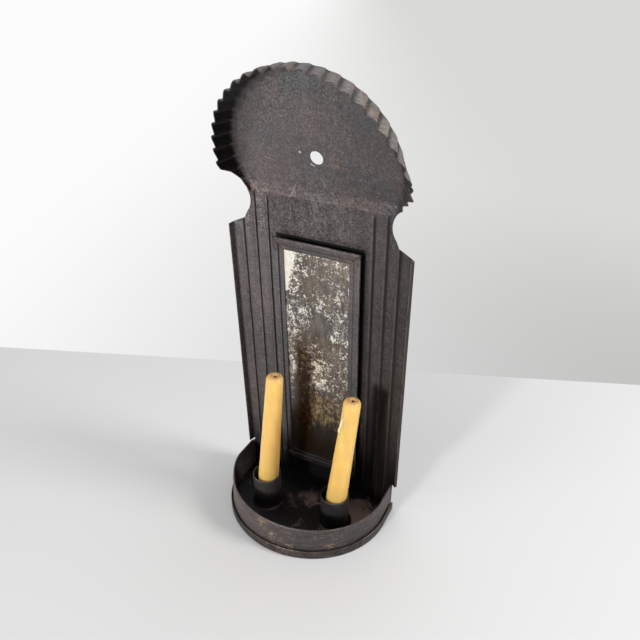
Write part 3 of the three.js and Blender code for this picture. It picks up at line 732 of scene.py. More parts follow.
def turned(profile, steps, closed=True):
    """A profile of radius and height, spun round the z axis."""
    bm = bmesh.new()
    points = [bm.verts.new((radius, 0, height)) for radius, height in profile]
    ends = points[1:] + points[:1] if closed else points[1:]
    edges = [bm.edges.new(pair) for pair in zip(points, ends)]
    bmesh.ops.spin(
        bm, geom=points + edges, cent=(0, 0, 0), axis=(0, 0, 1), angle=2 * math.pi, steps=steps, use_merge=True
    )
    bmesh.ops.remove_doubles(bm, verts=bm.verts, dist=WELD)
    bmesh.ops.recalc_face_normals(bm, faces=bm.faces)
    return bm


def joined(*parts):
    """Several meshes as one."""
    whole = bmesh.new()
    for part in parts:
        mesh = bpy.data.meshes.new("part")
        part.to_mesh(mesh)
        part.free()
        whole.from_mesh(mesh)
        bpy.data.meshes.remove(mesh)
    return whole


def moved(bm, way, angle=0.0, axis="X"):
    """Turns a mesh about an axis through the origin, then shifts it."""
    if angle:
        bmesh.ops.rotate(bm, verts=bm.verts, cent=(0, 0, 0), matrix=Matrix.Rotation(angle, 3, axis))
    bmesh.ops.translate(bm, verts=bm.verts, vec=way)
    return bm


def block(low, high, rounding):
    """A box with rounded edges."""
    bm = bmesh.new()
    bmesh.ops.create_cube(bm, size=1)
    low, high = Vector(low), Vector(high)
    bmesh.ops.scale(bm, verts=bm.verts, vec=high - low)
    moved(bm, (low + high) / 2)
    bmesh.ops.bevel(
        bm, geom=bm.edges, offset=rounding, affect="EDGES", segments=3, profile=0.5, material=-1, clamp_overlap=True
    )
    return bm


def drill(radius, segments, place):
    """A round cutter through an upright sheet, at a place from the origin of the plate."""
    bm = bmesh.new()
    bmesh.ops.create_cone(bm, cap_ends=True, segments=segments, radius1=radius, radius2=radius, depth=DRILL_LENGTH)
    return moved(bm, ORIGIN + Vector(place), math.pi / 2)


def smoothed(bm, mesh, sharp):
    """Writes a mesh out, smooth but for edges sharper than the given angle."""
    for face in bm.faces:
        face.smooth = True
    for edge in bm.edges:
        edge.smooth = edge.calc_face_angle(0) < math.radians(sharp)
    bm.to_mesh(mesh)
    bm.free()


def in_scene(name, data):
    """A new object of the scene, at its origin."""
    thing = bpy.data.objects.new(name, data)
    bpy.context.scene.collection.objects.link(thing)
    return thing


def to_piece(name, bm, material, node, sharp, body="sconce"):
    """A finished piece in the place of one of the frame's nodes."""
    mesh = bpy.data.meshes.new(name)
    smoothed(moved(bm, ORIGIN), mesh, sharp)
    mesh.materials.append(material)
    piece = in_scene(name, mesh)
    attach(piece, body)
    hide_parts(node)
    return piece


def cut(piece, cutter_mesh, sharp):
    """Takes a cutter's shape out of a piece for good, with the modifiers that the piece has."""
    cutter = in_scene("cutter", bpy.data.meshes.new("cutter"))
    cutter_mesh.to_mesh(cutter.data)
    cutter_mesh.free()
    modifier = piece.modifiers.new("Hole", "BOOLEAN")
    modifier.object = cutter
    modifier.solver = "EXACT"
    bpy.context.view_layer.update()
    evaluated = piece.evaluated_get(bpy.context.evaluated_depsgraph_get())
    mesh = bpy.data.meshes.new_from_object(evaluated)
    piece.modifiers.clear()
    piece.data = mesh
    bpy.data.objects.remove(cutter)
    bm = bmesh.new()
    bm.from_mesh(mesh)
    smoothed(bm, mesh, sharp)


# ---- the back plate and its crest


def plate_front(x):
    """Depth of the plate's front at x: the side strips turn forward at each crease."""
    depth = 0.0
    for start, end, turn in zip(CREASES, (*CREASES[1:], PLATE_HALF), STRIP_TURNS):
        depth += min(max(abs(x) - start, 0), end - start) * math.tan(turn)
    return -depth


def plate_limit(z):
    """Half the plate's width at a height."""
    if z < SIDE_BOTTOM:
        return PAN_HALF
    if z <= SHOULDER_Z:
        return PLATE_HALF
    for (x0, z0), (x1, z1) in (((PLATE_HALF, SHOULDER_Z), KNEE), (KNEE, NOTCH_START)):
        if z <= z1:
            return lerp(x0, x1, (z - z0) / (z1 - z0))
    return NOTCH.x - math.sqrt(NOTCH_RADIUS**2 - (z - NOTCH.y) ** 2)


def plate_section():
    """The plate's closed section: creased front, side edges turned forward with folded rims, plain back."""
    s = sizes()
    thick = s.edge_thickness
    halves = {}
    for side in (-1, 1):
        tip = PLATE_HALF - EDGE_INSETS[side]
        root = tip - EDGE_DEPTH * math.tan(EDGE_TURNS[side])
        inner = root - thick
        rim = plate_front(root) - EDGE_DEPTH
        half_way = plate_front(root) - EDGE_DEPTH * 0.5
        front = [(x * MM, 0.0) for x in PLATE_MIDDLE]
        for crease in CREASES:
            deeper = s.crease_depth / CREASE_DEPTH
            front += [(crease + aside * MM, depth * MM * deeper) for aside, depth in CREASE_RIDGES[side]]
            front.append((crease + 4.6 * MM, 0.0))
        front = [(x, plate_front(x) + depth) for x, depth in front]
        front += [
            (inner - 1.6 * MM, plate_front(inner - 1.6 * MM)),
            (inner - 0.6 * MM, plate_front(inner) - 0.15 * MM),
            (inner - 0.05 * MM, plate_front(inner) - 0.8 * MM),
            (lerp(inner, tip - thick, 0.5), half_way),
            (tip - thick, rim + 0.45 * MM),
            (tip - thick * 0.75, rim + 0.1 * MM),
            (tip - thick * 0.4, rim),
            (tip - 0.06 * MM, rim + 0.3 * MM),
            (tip, rim + 0.9 * MM),
            (lerp(root, tip, 0.5), half_way),
            (root, plate_front(root) - 0.3 * MM),
            (root - 0.2 * MM, plate_front(root) + 0.3 * MM),
            (root - 0.8 * MM, plate_front(root) + SHEET),
        ]
        back = [(x * MM, plate_front(x * MM) + SHEET) for x in PLATE_BACK]
        halves[side] = front + back
    return halves[1] + [(-x, y) for x, y in reversed(halves[-1])]


def build_back_plate():
    s = sizes()
    outline = plate_section()

    def position(column, row):
        x, y = outline[column % len(outline)]
        z = PLATE_LEVELS[row] * MM
        if x > 0 and SIDE_BOTTOM <= z < FOOT_SLANT_TOP:
            z = max(z, SIDE_BOTTOM + FOOT_SLANT * max(plate_front(x) - y, 0))
        limit = plate_limit(z)
        if abs(x) > limit:
            behind = y > plate_front(x) + SHEET * 0.6 - 0.1 * MM
            x = math.copysign(limit, x)
            y = plate_front(x) + (SHEET if behind else 0.0)
        sway = s.unevenness * 0.5 * (strewn((x, 0, z), 22, 3) - 1) * smoothstep(abs(x), 34 * MM, 60 * MM)
        return Vector((x, y + sway, z))

    plate = lattice(len(outline), len(PLATE_LEVELS) - 1, position, caps=True)
    half = CREASES[1]
    tongue = block((-half, 0.05 * MM, TONGUE_BOTTOM), (half, SHEET - 0.02 * MM, TONGUE_TOP), 0.2 * MM)
    sheet = joined(plate, tongue)
    sheet.normal_update()
    for face in sheet.faces:
        face.material_index = int(face.normal.y > 0.4)
    material = tin_finish("browned_tin_plate", plate_marks, warmth=0.35)
    piece = to_piece("back_plate_sheet", sheet, material, "back_plate", sharp=28)
    piece.data.materials.append(tin_finish("browned_tin_plate_back", plate_back_marks))


def crimp_phase(angle, flange_share):
    """Which crimp a place on the flange belongs to: hand-made crimps drift from an even count."""
    s = sizes()
    degrees = math.degrees(angle)
    if degrees < -90:
        degrees += 360
    shift = CRIMP_DRIFT[-1][1]
    for (start, before), (end, after) in zip(CRIMP_DRIFT, CRIMP_DRIFT[1:]):
        if degrees < end:
            shift = lerp(before, after, min(max((degrees - start) / (end - start), 0), 1))
            break
    return angle * s.crimps / (2 * math.pi) + shift + s.crimp_twist * flange_share


def crimp_wave(phase):
    """One crimp rises slowly and falls back sharply."""
    turn = phase - math.floor(phase)
    if turn < CRIMP_FALL:
        return math.cos(math.pi * turn / CRIMP_FALL)
    return -math.cos(math.pi * (turn - CRIMP_FALL) / (1 - CRIMP_FALL))


def crest_place(angle, disc_share, bend_share, flange_share):
    """A point of the crest before it leans: across, forward and up from the bend."""
    from_top = math.acos(max(-1, min(1, math.sin(angle)))) / math.pi
    end_flare = FLANGE_END_FLARES[math.cos(angle) >= 0]
    flare = lerp(FLANGE_FLARE, end_flare, smoothstep(from_top, 0.3, 0.62))
    slope = (math.pi / 2 - flare) * bend_share
    along = FLANGE_LENGTH * flange_share
    radius = CREST_RADIUS - CREST_FILLET * (1 - math.sin(slope)) + along * math.cos(slope)
    forward = CREST_FILLET * (1 - math.cos(slope)) + along * math.sin(slope)
    phase = crimp_phase(angle, flange_share)
    wave = crimp_wave(phase)
    if math.cos(angle) > 0.5 and phase < 0:
        wave = max(wave, 0) if phase > -0.5 else 0
    crimp_share = 0.35 * smoothstep(bend_share, 0.2, 1.2) + 0.65 * smoothstep(flange_share, 0, 0.75)
    uneven = 0.97 - 0.3 * abs(strewn((math.floor(phase) * 1.7, 0, 0), 1, 5))
    shift = sizes().crimp_height * crimp_share * wave * uneven
    radius += shift * math.sin(slope)
    forward -= shift * math.cos(slope)
    way = Vector((math.cos(angle), math.sin(angle)))
    rim = CREST_CENTRE + way * radius
    hole = HANGING_HOLE + way * HANGING_HOLE_RADIUS
    flat = hole.lerp(rim, disc_share)
    return Vector((flat.x, -SHEET / 2 - forward, flat.y))


def crest_set(place):
    """Sets a point of the crest in its place: leaned above the bend, laid on the plate's front below it."""
    over = smoothstep(-place.y, 0.8 * MM, 3.5 * MM)
    share = max(smoothstep(place.z, -1.5 * MM, 1.5 * MM), over)
    laid = plate_front(place.x) + 0.1 * MM
    drop = smoothstep(-place.z, 0.5 * MM, 6 * MM) * (1 - over)
    flat = Vector((place.x, lerp(place.y, laid, drop), place.z))
    return Matrix.Rotation(CREST_LEAN * share, 3, "X") @ flat + Vector((0, 0, BEND_Z))


def flange_end_cutter(side):
    """The prism that trims one end of the flange: its outline in depth forward and height, before the lean."""
    near, far = 40 * MM, 100 * MM
    bm = bmesh.new()
    outline = [bm.verts.new((side * near, -forward * MM, height * MM)) for forward, height in FLANGE_ENDS[side]]
    grown = bmesh.ops.extrude_face_region(bm, geom=[bm.faces.new(outline)])["geom"]
    far_end = [item for item in grown if isinstance(item, bmesh.types.BMVert)]
    bmesh.ops.translate(bm, verts=far_end, vec=(side * (far - near), 0, 0))
    bmesh.ops.recalc_face_normals(bm, faces=bm.faces)
    return moved(bm, ORIGIN + Vector((0, 0, BEND_Z)), CREST_LEAN)


def build_crest():
    s = sizes()
    disc_rows, bend_rows, flange_rows = 15, 4, 9
    rows = [(row / disc_rows, 0, 0) for row in range(disc_rows + 1)]
    rows += [(1, (row + 1) / bend_rows, 0) for row in range(bend_rows)]
    rows += [(1, 1, (row + 1) / flange_rows) for row in range(flange_rows)]
    steps = s.crimps * CRIMP_STEPS

    def position(column, row):
        place = crest_place(2 * math.pi * column / steps, *rows[row])
        sway = s.unevenness * 0.5 * (strewn(place, 20, 8) - 1) * smoothstep(place.z, 0, 12 * MM)
        return place + Vector((0, sway, 0))

    bm = lattice(steps, len(rows) - 1, position)
    crimp, flange = (bm.verts.layers.float.new(name) for name in ("crimp", "flange"))
    for vertex in bm.verts:
        forward = -SHEET / 2 - vertex.co.y
        across, up = vertex.co.x - CREST_CENTRE.x, vertex.co.z - CREST_CENTRE.y
        rim = smoothstep(math.hypot(up, across), CREST_RADIUS - 9 * MM, CREST_RADIUS - 1 * MM)
        vertex[flange] = 0.5 * rim + 0.5 * smoothstep(forward, 1 * MM, 5 * MM)
        phase = crimp_phase(math.atan2(up, across), max(forward - CREST_FILLET, 0) / FLANGE_LENGTH)
        vertex[crimp] = 0.5 + 0.5 * crimp_wave(phase)
    everything = bm.verts[:] + bm.edges[:] + bm.faces[:]
    bmesh.ops.bisect_plane(
        bm, geom=everything, dist=WELD / 10, plane_co=(0, 0, -LAP_DEPTH), plane_no=(0, 0, -1), clear_outer=True
    )
    low = [edge for edge in bm.edges if min(vertex.co.z for vertex in edge.verts) < 1 * MM]
    bmesh.ops.subdivide_edges(bm, edges=low, cuts=1, use_grid_fill=True)
    for vertex in bm.verts:
        vertex.co = crest_set(vertex.co)
    bmesh.ops.recalc_face_normals(bm, faces=bm.faces)
    material = tin_finish("browned_tin_crest_back", crest_back_marks, warmth=0.7)
    crest = to_piece("crimped_crest", bm, material, "crest_disc", sharp=50)
    crest.data.materials.append(tin_finish("browned_tin_crest", crest_marks, warmth=0.55))
    # The solidified rim gets dark sooty tin as painted shade, so the sheet's cut edge shows no pale line.
    crest.data.materials.append(tin_finish("sooty_tin_edge", soot=0.6, wear=0.4))
    modifier = crest.modifiers.new("Sheet", "SOLIDIFY")
    modifier.thickness = s.sheet
    modifier.offset = 0
    modifier.material_offset = 1
    modifier.material_offset_rim = 2
    cut(crest, joined(*(flange_end_cutter(side) for side in (-1, 1))), sharp=50)
    cut(crest, joined(*(drill(NOTCH_RADIUS, 96, (side * NOTCH.x, 0, NOTCH.y)) for side in (-1, 1))), sharp=50)


# ---- the mirror


def build_frame():
    rails = {
        "top": (FRAME_HALF_WIDTH, FRAME_HALF_HEIGHT, 0),
        "bottom": (FRAME_HALF_WIDTH, FRAME_HALF_HEIGHT, math.pi),
        "right": (FRAME_HALF_HEIGHT, FRAME_HALF_WIDTH, math.pi / 2),
        "left": (FRAME_HALF_HEIGHT, FRAME_HALF_WIDTH, -math.pi / 2),
    }
    steps = 30
    material = tin_finish("browned_tin_frame", frame_marks, warmth=0.6)
    for number, (side, (half_length, half_span, turn)) in enumerate(rails.items()):

        def position(column, row):
            across, depth = RAIL_SECTION[column % len(RAIL_SECTION)]
            share = 2 * row / steps - 1
            along = share * (half_length - across * MM - SEAT / 2)
            sway = 0.12 * MM * strewn((share * 3, across * 0.1, number), 1.3, 2) * (1 if depth < -6 else 0)
            return Vector((along, depth * MM + sway, half_span - across * MM))

        rail = lattice(len(RAIL_SECTION), steps, position, caps=True)
        moved(rail, (0, 0, FRAME_MIDDLE_Z), turn, "Y")
        to_piece(f"frame_rail_{side}", rail, material, f"frame_{side}", sharp=30)


def build_mirror():
    low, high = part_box("mirror_glass")
    glass = block(low - ORIGIN, high - ORIGIN, 0.4 * MM)
    to_piece("looking_glass", glass, mirror_finish(), "mirror_glass", sharp=30)


# ---- the drip pan


def pan_path(offset, height, share):
    """A point of the pan's plan, from its right end at share 0 round the front to its left end at share 1."""
    rake = min(max((height - LIP_Z) / (RIM_Z - LIP_Z), 0), 1)
    half = PAN_HALF + offset - SIDE_RAKE * rake
    reach = PAN_REACH + offset - FRONT_RAKE * rake
    back = plate_front(PAN_HALF) - SEAT
    straight_share = 0.12
    if share < straight_share:
        return Vector((half, lerp(back, -PAN_STRAIGHT, share / straight_share)))
    if share > 1 - straight_share:
        return Vector((-half, lerp(-PAN_STRAIGHT, back, (share - 1 + straight_share) / straight_share)))
    angle = math.pi * (share - straight_share) / (1 - 2 * straight_share)
    return Vector((half * math.cos(angle), -PAN_STRAIGHT - (reach - PAN_STRAIGHT) * math.sin(angle)))


def round_the_pan(section, stray):
    """A closed section of offset and height, carried round the pan's plan, with a bulge at its back left."""

    def position(column, row):
        offset, height = section[column % len(section)]
        share = row / PAN_STEPS
        flat = pan_path(offset * MM, height * MM, share)
        bow = (flat.y + PAN_STRAIGHT) / PAN_REACH if flat.y < -PAN_STRAIGHT else 0
        flat += Vector((flat.x / PAN_HALF, bow)).normalized() * stray(share, height * MM)
        if flat.x < 0 and height > 8:
            bulge = smoothstep(flat.y, -56 * MM, -26 * MM) * smoothstep(-flat.y, 2.8 * MM, 7.5 * MM)
            flat.x -= PAN_BULGE * smoothstep(height, 8, 20) * bulge
        return Vector((flat.x, flat.y, height * MM))

    return lattice(len(section), PAN_STEPS, position, caps=True)


def build_pan():
    s = sizes()

    def wall_stray(share, height):
        rise = smoothstep(height, 4 * MM, RIM_Z)
        return s.unevenness * rise * strewn((share * 9, height * 30, 0), 1, 4)

    def lip_stray(share, height):
        return -0.16 * MM * (1 + strewn((share * 12, height * 40, 3), 1, 6)) * smoothstep(height, 1 * MM, 6 * MM)

    steps = 40
    overhang = 1.4 * MM

    def floor_place(column, row):
        y = lerp(-(PAN_REACH + overhang), plate_front(PAN_HALF) - SEAT, (row / steps) ** 1.5)
        if row > steps:
            y = SHEET
        half = PAN_HALF + (overhang if row < steps else 0)
        if y < -PAN_STRAIGHT:
            part = min((-y - PAN_STRAIGHT) / (PAN_REACH + overhang - PAN_STRAIGHT), 1)
            half *= math.sqrt(1 - part**2)
        x = lerp(-half, half, column / steps)
        sag = 0.1 * MM * (1 + strewn((x, y, 0), 30, 9))
        return Vector((x, y, SHEET - sag))

    wall = round_the_pan(WALL_SECTION, wall_stray)
    material = tin_finish("browned_tin_pan", pan_marks, warmth=0.75, wear=1.5)
    to_piece("drip_pan_wall", wall, material, "pan_wall", sharp=40)
    lip = round_the_pan(LIP_SECTION, lip_stray)
    floor = lattice(steps, steps + 1, floor_place)
    if sum(face.normal.z for face in floor.faces) < 0:
        bmesh.ops.reverse_faces(floor, faces=floor.faces)
    bmesh.ops.solidify(floor, geom=floor.faces, thickness=SHEET * 0.6)
    material = tin_finish("sooty_tin_floor", floor_marks, soot=0.35, warmth=0.95)
    to_piece("drip_pan_floor", joined(lip, floor), material, "pan_floor", sharp=40)


# ---- sockets and candles


def socket_tube(number):
    """A rolled tube with an overlapped seam and an uneven rim."""
    profile = [(SOCKET_OUTER, z * MM) for z in (0, 10, 20, 29)]
    profile += [
        (SOCKET_OUTER, SOCKET_HEIGHT - 0.5 * MM),
        (SOCKET_OUTER - 0.12 * MM, SOCKET_HEIGHT - 0.1 * MM),
        (SOCKET_OUTER - 0.35 * MM, SOCKET_HEIGHT),
        (SOCKET_BORE + 0.1 * MM, SOCKET_HEIGHT - 0.12 * MM),
        (SOCKET_BORE, SOCKET_HEIGHT - 0.5 * MM),
        (SOCKET_BORE, 18 * MM),
        (SOCKET_BORE, 0),
    ]
    tube = turned(profile, steps=96)
    for vertex in tube.verts:
        angle = math.atan2(vertex.co.y, vertex.co.x)
        if vertex.co.xy.length > SOCKET_OUTER - 0.4 * MM:
            seam = smoothstep(abs(angle - 0.9 - number * 0.5), 0.02, 0.12)
            vertex.co.xy *= 1 + 0.35 * MM * (1 - seam) / SOCKET_OUTER
        rise = strewn((math.cos(angle), math.sin(angle), number), 1.2, 4) - 0.6
        vertex.co.z += 0.35 * MM * rise * smoothstep(vertex.co.z, 20 * MM, SOCKET_HEIGHT)
    return tube


def socket_burr(number):
    """The burr thrown up round a socket's pierced hole."""
    around = [2 * math.pi * step / 10 for step in range(10)]
    middle = SOCKET_HOLE_RADIUS + 0.3 * MM
    burr = turned([(middle + 0.34 * MM * math.cos(a), 0.3 * MM * math.sin(a)) for a in around], steps=40)
    moved(burr, (0, 0, 0), math.pi / 2)
    for vertex in burr.verts:
        vertex.co += vertex.co * 0.25 * strewn(vertex.co, 900, number)
        vertex.co.y -= math.sqrt(max(SOCKET_OUTER**2 - vertex.co.x**2, 0))
        vertex.co.z += SOCKET_HOLE_Z
    return burr


def build_sockets():
    material = tin_finish("dark_tin_socket", socket_marks, soot=0.2, warmth=0.7, wear=0.8)
    for number, (side, spot) in enumerate(SOCKETS.items()):
        socket = moved(joined(socket_tube(number), socket_burr(number)), (*spot, SHEET))
        piece = to_piece(f"candle_socket_{side}", socket, material, f"socket_{side}", sharp=40)
        front = (spot.x, spot.y - SOCKET_OUTER, SHEET + SOCKET_HOLE_Z)
        cut(piece, drill(SOCKET_HOLE_RADIUS, 32, front), sharp=40)


def candle_stand(side):
    """Takes an upright candle to its place: it leans until its foot and its side both touch the socket."""
    taper = (CANDLE_BASE - CANDLE_TOP) / (CANDLE_LENGTHS[side] - CANDLE_DOME)
    at_rim = CANDLE_BASE - taper * SOCKET_HEIGHT
    room = SOCKET_BORE - SEAT
    lean = math.atan((2 * room - CANDLE_BASE - at_rim) / SOCKET_HEIGHT)
    shift = (CANDLE_BASE * math.cos(lean) - room, 0, CANDLE_BASE * math.sin(lean) + SEAT)
    spot = Matrix.Translation((*SOCKETS[side], SHEET))
    turn = Matrix.Rotation(CANDLE_TURNS[side], 4, "Z")
    return spot @ turn @ Matrix.Translation(shift) @ Matrix.Rotation(lean, 4, "Y")


def candle_body(length, number):
    """A tapered candle with a rounded top and a sunk tip, which knows how far each point lies below the tip."""
    shoulder = length - CANDLE_DOME
    foot = 0.8 * MM
    profile = [(1.2 * MM, 0), (CANDLE_BASE - 0.7 * MM, 0), (CANDLE_BASE - 0.2 * MM, 0.25 * MM), (CANDLE_BASE, foot)]
    side_steps, dome_steps = 28, 9
    for step in range(1, side_steps + 1):
        profile.append((lerp(CANDLE_BASE, CANDLE_TOP, step / side_steps), lerp(foot, shoulder, step / side_steps)))
    for step in range(1, dome_steps + 1):
        angle = math.pi / 2 * step / dome_steps
        radius = CRATER_RADIUS + (CANDLE_TOP - CRATER_RADIUS) * math.cos(angle)
        profile.append((radius, shoulder + CANDLE_DOME * math.sin(angle)))
    profile += [(2.1 * MM, length - 0.25 * MM), (1.6 * MM, length - 0.9 * MM), (1.25 * MM, length - CRATER_DEPTH)]
    candle = turned(profile, steps=64)
    tip = candle.verts.layers.float.new("below_tip")
    for vertex in candle.verts:
        vertex[tip] = length - vertex.co.z
        uneven = 0.16 * MM * strewn(vertex.co, 60, number * 4) * smoothstep(vertex.co.z, 20 * MM, 50 * MM)
        radius = vertex.co.xy.length
        if radius > 2.2 * MM:
            vertex.co.xy *= 1 + uneven / radius
        if vertex.co.z > shoulder:
            vertex.co.z += 0.35 * MM * strewn(vertex.co, 160, number) * smoothstep(length - vertex.co.z, 0, 3 * MM)
    return candle


def wax_run(length):
    """A run of wax that ends in a bead, down the side of a candle."""
    run = bmesh.new()
    bmesh.ops.create_uvsphere(run, u_segments=20, v_segments=40, radius=1)
    top = length - RUN_BELOW_TIP
    bottom = top - RUN_LENGTH
    taper = (CANDLE_BASE - CANDLE_TOP) / (length - CANDLE_DOME)
    for vertex in run.verts:
        across, back, height = vertex.co
        share = (height + 1) / 2
        z = lerp(bottom, top, share)
        fat = 1.35 * MM + 1.25 * MM * smoothstep(-height, 0.35, 0.85)
        sag = 0.7 * MM * strewn((0, 0, height * 3), 1, 2)
        surface = CANDLE_BASE - taper * z
        place = Vector((surface - 0.35 * MM + across * fat * 0.8, back * fat + sag, z))
        vertex.co = Matrix.Rotation(RUN_TURN + math.radians(lerp(6, 34, share)), 3, "Z") @ place
    for face in run.faces:
        face.material_index = 1
    return run


def wick_strand(length, number):
    """A wick that runs through its candle and bends at its burnt end."""
    end, full = 0.6 * MM, 0.9 * MM
    profile = [(0, 1.2 * MM), (full, 1.2 * MM), (full, length - 2.4 * MM), (0.85 * MM, length - 1.2 * MM)]
    profile += [(end, length - 0.6 * MM), (0, length - 0.45 * MM)]
    wick = turned(profile, steps=14, closed=False)
    for vertex in wick.verts:
        bend = smoothstep(vertex.co.z, length - 2.2 * MM, length)
        vertex.co.x += bend * 0.3 * MM
        vertex.co.xy *= 1 + 0.2 * strewn(vertex.co, 900, number) * bend
    return wick


def build_candles():
    wax, char = wax_finish(), wick_finish()
    for number, (side, length) in enumerate(CANDLE_LENGTHS.items()):
        candle = candle_body(length, number)
        if side == "right":
            candle = joined(candle, wax_run(length))
        wick = wick_strand(length, number)
        for mesh in (candle, wick):
            bmesh.ops.transform(mesh, matrix=candle_stand(side), verts=mesh.verts)
        body = f"{side}_candle"
        piece = to_piece(f"beeswax_candle_{side}", candle, wax, f"candle_{side}", sharp=60, body=body)
        if side == "right":
            piece.data.materials.append(wax_run_finish())
        to_piece(f"charred_wick_{side}", wick, char, f"wick_{side}", sharp=60, body=body)


# ---- solder and hidden pieces


def build_solder():
    material = solder_finish()
    inner = SOCKET_OUTER + 0.4 * MM
    for number, (side, spot) in enumerate(SOCKETS.items()):
        ring = turned([(inner + out * MM, height * MM) for out, height in SOLDER_SECTION], steps=72)
        for vertex in ring.verts:
            way = vertex.co.xy.normalized()
            reach = vertex.co.xy.length - inner
            lump = 1 + 0.45 * strewn((way.x * 2, way.y * 2, number), 1.3, 3)
            vertex.co.xy = way * (inner + reach * lump)
            vertex.co.z *= lump
        moved(ring, (*spot, SHEET))
        to_piece(f"solder_ring_{side}", ring, material, f"socket_solder_{side}", sharp=60)

    steps = 90

    def bead_place(column, row):
        depth, height = BEAD_SECTION[column % len(BEAD_SECTION)]
        x = lerp(-CREASES[1], CREASES[1], row / steps)
        lump = 1 + 0.4 * strewn((x, 0, 0), 160, 7)
        return Vector((x, depth * MM * min(lump, 1), TONGUE_TOP + height * MM * lump))

    bead = lattice(len(BEAD_SECTION), steps, bead_place, caps=True)
    to_piece("crest_solder_bead", bead, material, "crest_solder", sharp=60)


def build_hidden():
    """Finishes for the frame's own pieces that stay as they are."""
    dark = tin_finish("dark_tin_tray", soot=0.8, warmth=0.6, wear=0.3)
    for name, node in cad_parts.items():
        if node.hide_render:
            continue
        if "solder" in name:
            material = solder_finish()
        elif name == "backing_card":
            material = card_finish()
        else:
            material = dark
        node.data.materials.clear()
        node.data.materials.append(material)


# ---- stage

CAMERA_PLACE = ORIGIN + Vector((193.44, -364.29, 423.885)) * MM
CAMERA_TURN = (56.9247, -1.4401, 24.4143)
CAMERA_LENS = 34.443
CAMERA_SHIFT = (-0.06383, 0.03465)
TABLE_EDGE = (ORIGIN + Vector((-299.7, 84, 0)) * MM, ORIGIN + Vector((117.2, 240.7, 0)) * MM)
TABLE_REACH = 12
TABLE_DEPTH = 4
BACKDROP_DEPTH = 16

# Each lamp's name, place, aim, size and power
LAMPS = (
    ("key_softbox", (-0.34, -1.72, 0.56), (0, 0, 0.16), 0.24, 20),
    ("front_softbox", (-0.9, -1.2, 1.6), (0, 0, 0.1), 1.3, 6),
    ("side_softbox", (1.3, 0.24, 0.85), (0, 0, 0.1), 0.5, 15),
    ("top_softbox", (0.0, 0.5, 2.0), (0, 0, 0.1), 1.5, 14),
)


def table_finish():
    p = Paint("table_top")
    p.base = p.mix(p.noise(3, 2, 0.5), tone("table", 0.97), tone("table", 1.03))
    p.rough = 0.75
    return p.finish({"Specular IOR Level": 0.15})


def seen_ray(p, *kinds):
    """1 where the backdrop or the air is seen or mirrored, 0 for the light that they give."""
    seen = 0.0
    for kind in kinds:
        seen = p.larger(seen, p.node("ShaderNodeLightPath", output=f"Is {kind} Ray"))
    return seen


def backdrop_finish():
    """A pale backdrop that glows at its own tone where it is seen or mirrored, with painted shade darker to the right,
    and is lit like any wall for the rest of the light.
    """
    p = Paint("backdrop_tone")
    x, y, _ = (axis * MM for axis in p.axes())
    # Painted shade: the backdrop darker to the right, most of all near the table.
    far = p.mix(p.ramp(y, 0.05, 0.95), (0.51, 0.51, 0.506), (0.7, 0.706, 0.684))
    colour = p.mix(p.ramp(x * 0.911 + y * 0.413, -0.6, 0.45), (0.97, 0.97, 0.97), far)
    glow = p.node("ShaderNodeEmission", (), {"Color": colour, "Strength": 1.0})
    paper = p.node("ShaderNodeBsdfDiffuse", (), {"Color": colour})
    inputs = {0: seen_ray(p, "Camera", "Glossy", "Transmission"), 1: paper, 2: glow}
    p.node("ShaderNodeOutputMaterial", (), {"Surface": p.node("ShaderNodeMixShader", (), inputs)})
    return p.owner


def studio_air():
    """Dim air for the light it gives, paler where it is seen or mirrored."""
    p = Paint("studio_air", "worlds")
    strength = seen_ray(p, "Camera", "Glossy") * 0.5 + 0.22
    air = p.node("ShaderNodeBackground", (), {"Color": (1, 1, 1, 1), "Strength": strength})
    p.node("ShaderNodeOutputWorld", (), {"Surface": air})
    return p.owner


def flat_sheet(name, corners, material):
    bm = bmesh.new()
    bm.faces.new([bm.verts.new(corner) for corner in corners])
    mesh = bpy.data.meshes.new(name)
    bm.to_mesh(mesh)
    bm.free()
    mesh.materials.append(material)
    in_scene(name, mesh)


def build_stage():
    scene = bpy.context.scene
    left, right = TABLE_EDGE
    along = (right - left).normalized()
    toward = Vector((along.y, -along.x, 0))
    start, end = left - along * TABLE_REACH, right + along * TABLE_REACH
    front, rear = toward * TABLE_DEPTH, -toward * BACKDROP_DEPTH
    flat_sheet("table", [start, start + front, end + front, end], table_finish())
    flat_sheet("backdrop", [start, end, end + rear, start + rear], backdrop_finish())

    for name, place, aim, size, power in LAMPS:
        lamp = bpy.data.lights.new(name, "AREA")
        lamp.shape = "DISK"
        lamp.size = size
        lamp.energy = power
        holder = in_scene(name, lamp)
        holder.location = place
        holder.rotation_euler = (Vector(aim) - Vector(place)).to_track_quat("-Z", "Y").to_euler()
    scene.world = studio_air()

    camera = bpy.data.cameras.new("photograph_view")
    camera.sensor_width = 36
    camera.lens = CAMERA_LENS
    camera.shift_x, camera.shift_y = CAMERA_SHIFT
    camera.clip_start = 0.01
    holder = in_scene("photograph_view", camera)
    holder.location = CAMERA_PLACE
    holder.rotation_euler = [math.radians(angle) for angle in CAMERA_TURN]
    scene.camera = holder
    scene.view_settings.view_transform = "Standard"


# ---- the add-on


class SCONCE_OT_back_plate(bpy.types.Operator):
    """Build the creased back plate with its turned edges, notches and tongue"""

    bl_idname = "sconce.back_plate"
    bl_label = "Back plate"

    def execute(self, context):
        build_back_plate()
        return {"FINISHED"}


class SCONCE_OT_crest(bpy.types.Operator):
    """Build the round crest with its crimped flange"""

    bl_idname = "sconce.crest"
    bl_label = "Crest"

    def execute(self, context):
        build_crest()
        return {"FINISHED"}


class SCONCE_OT_mirror_frame(bpy.types.Operator):
    """Build the four mitred rails of the mirror's frame"""

    bl_idname = "sconce.mirror_frame"
    bl_label = "Mirror frame"

    def execute(self, context):
        build_frame()
        return {"FINISHED"}


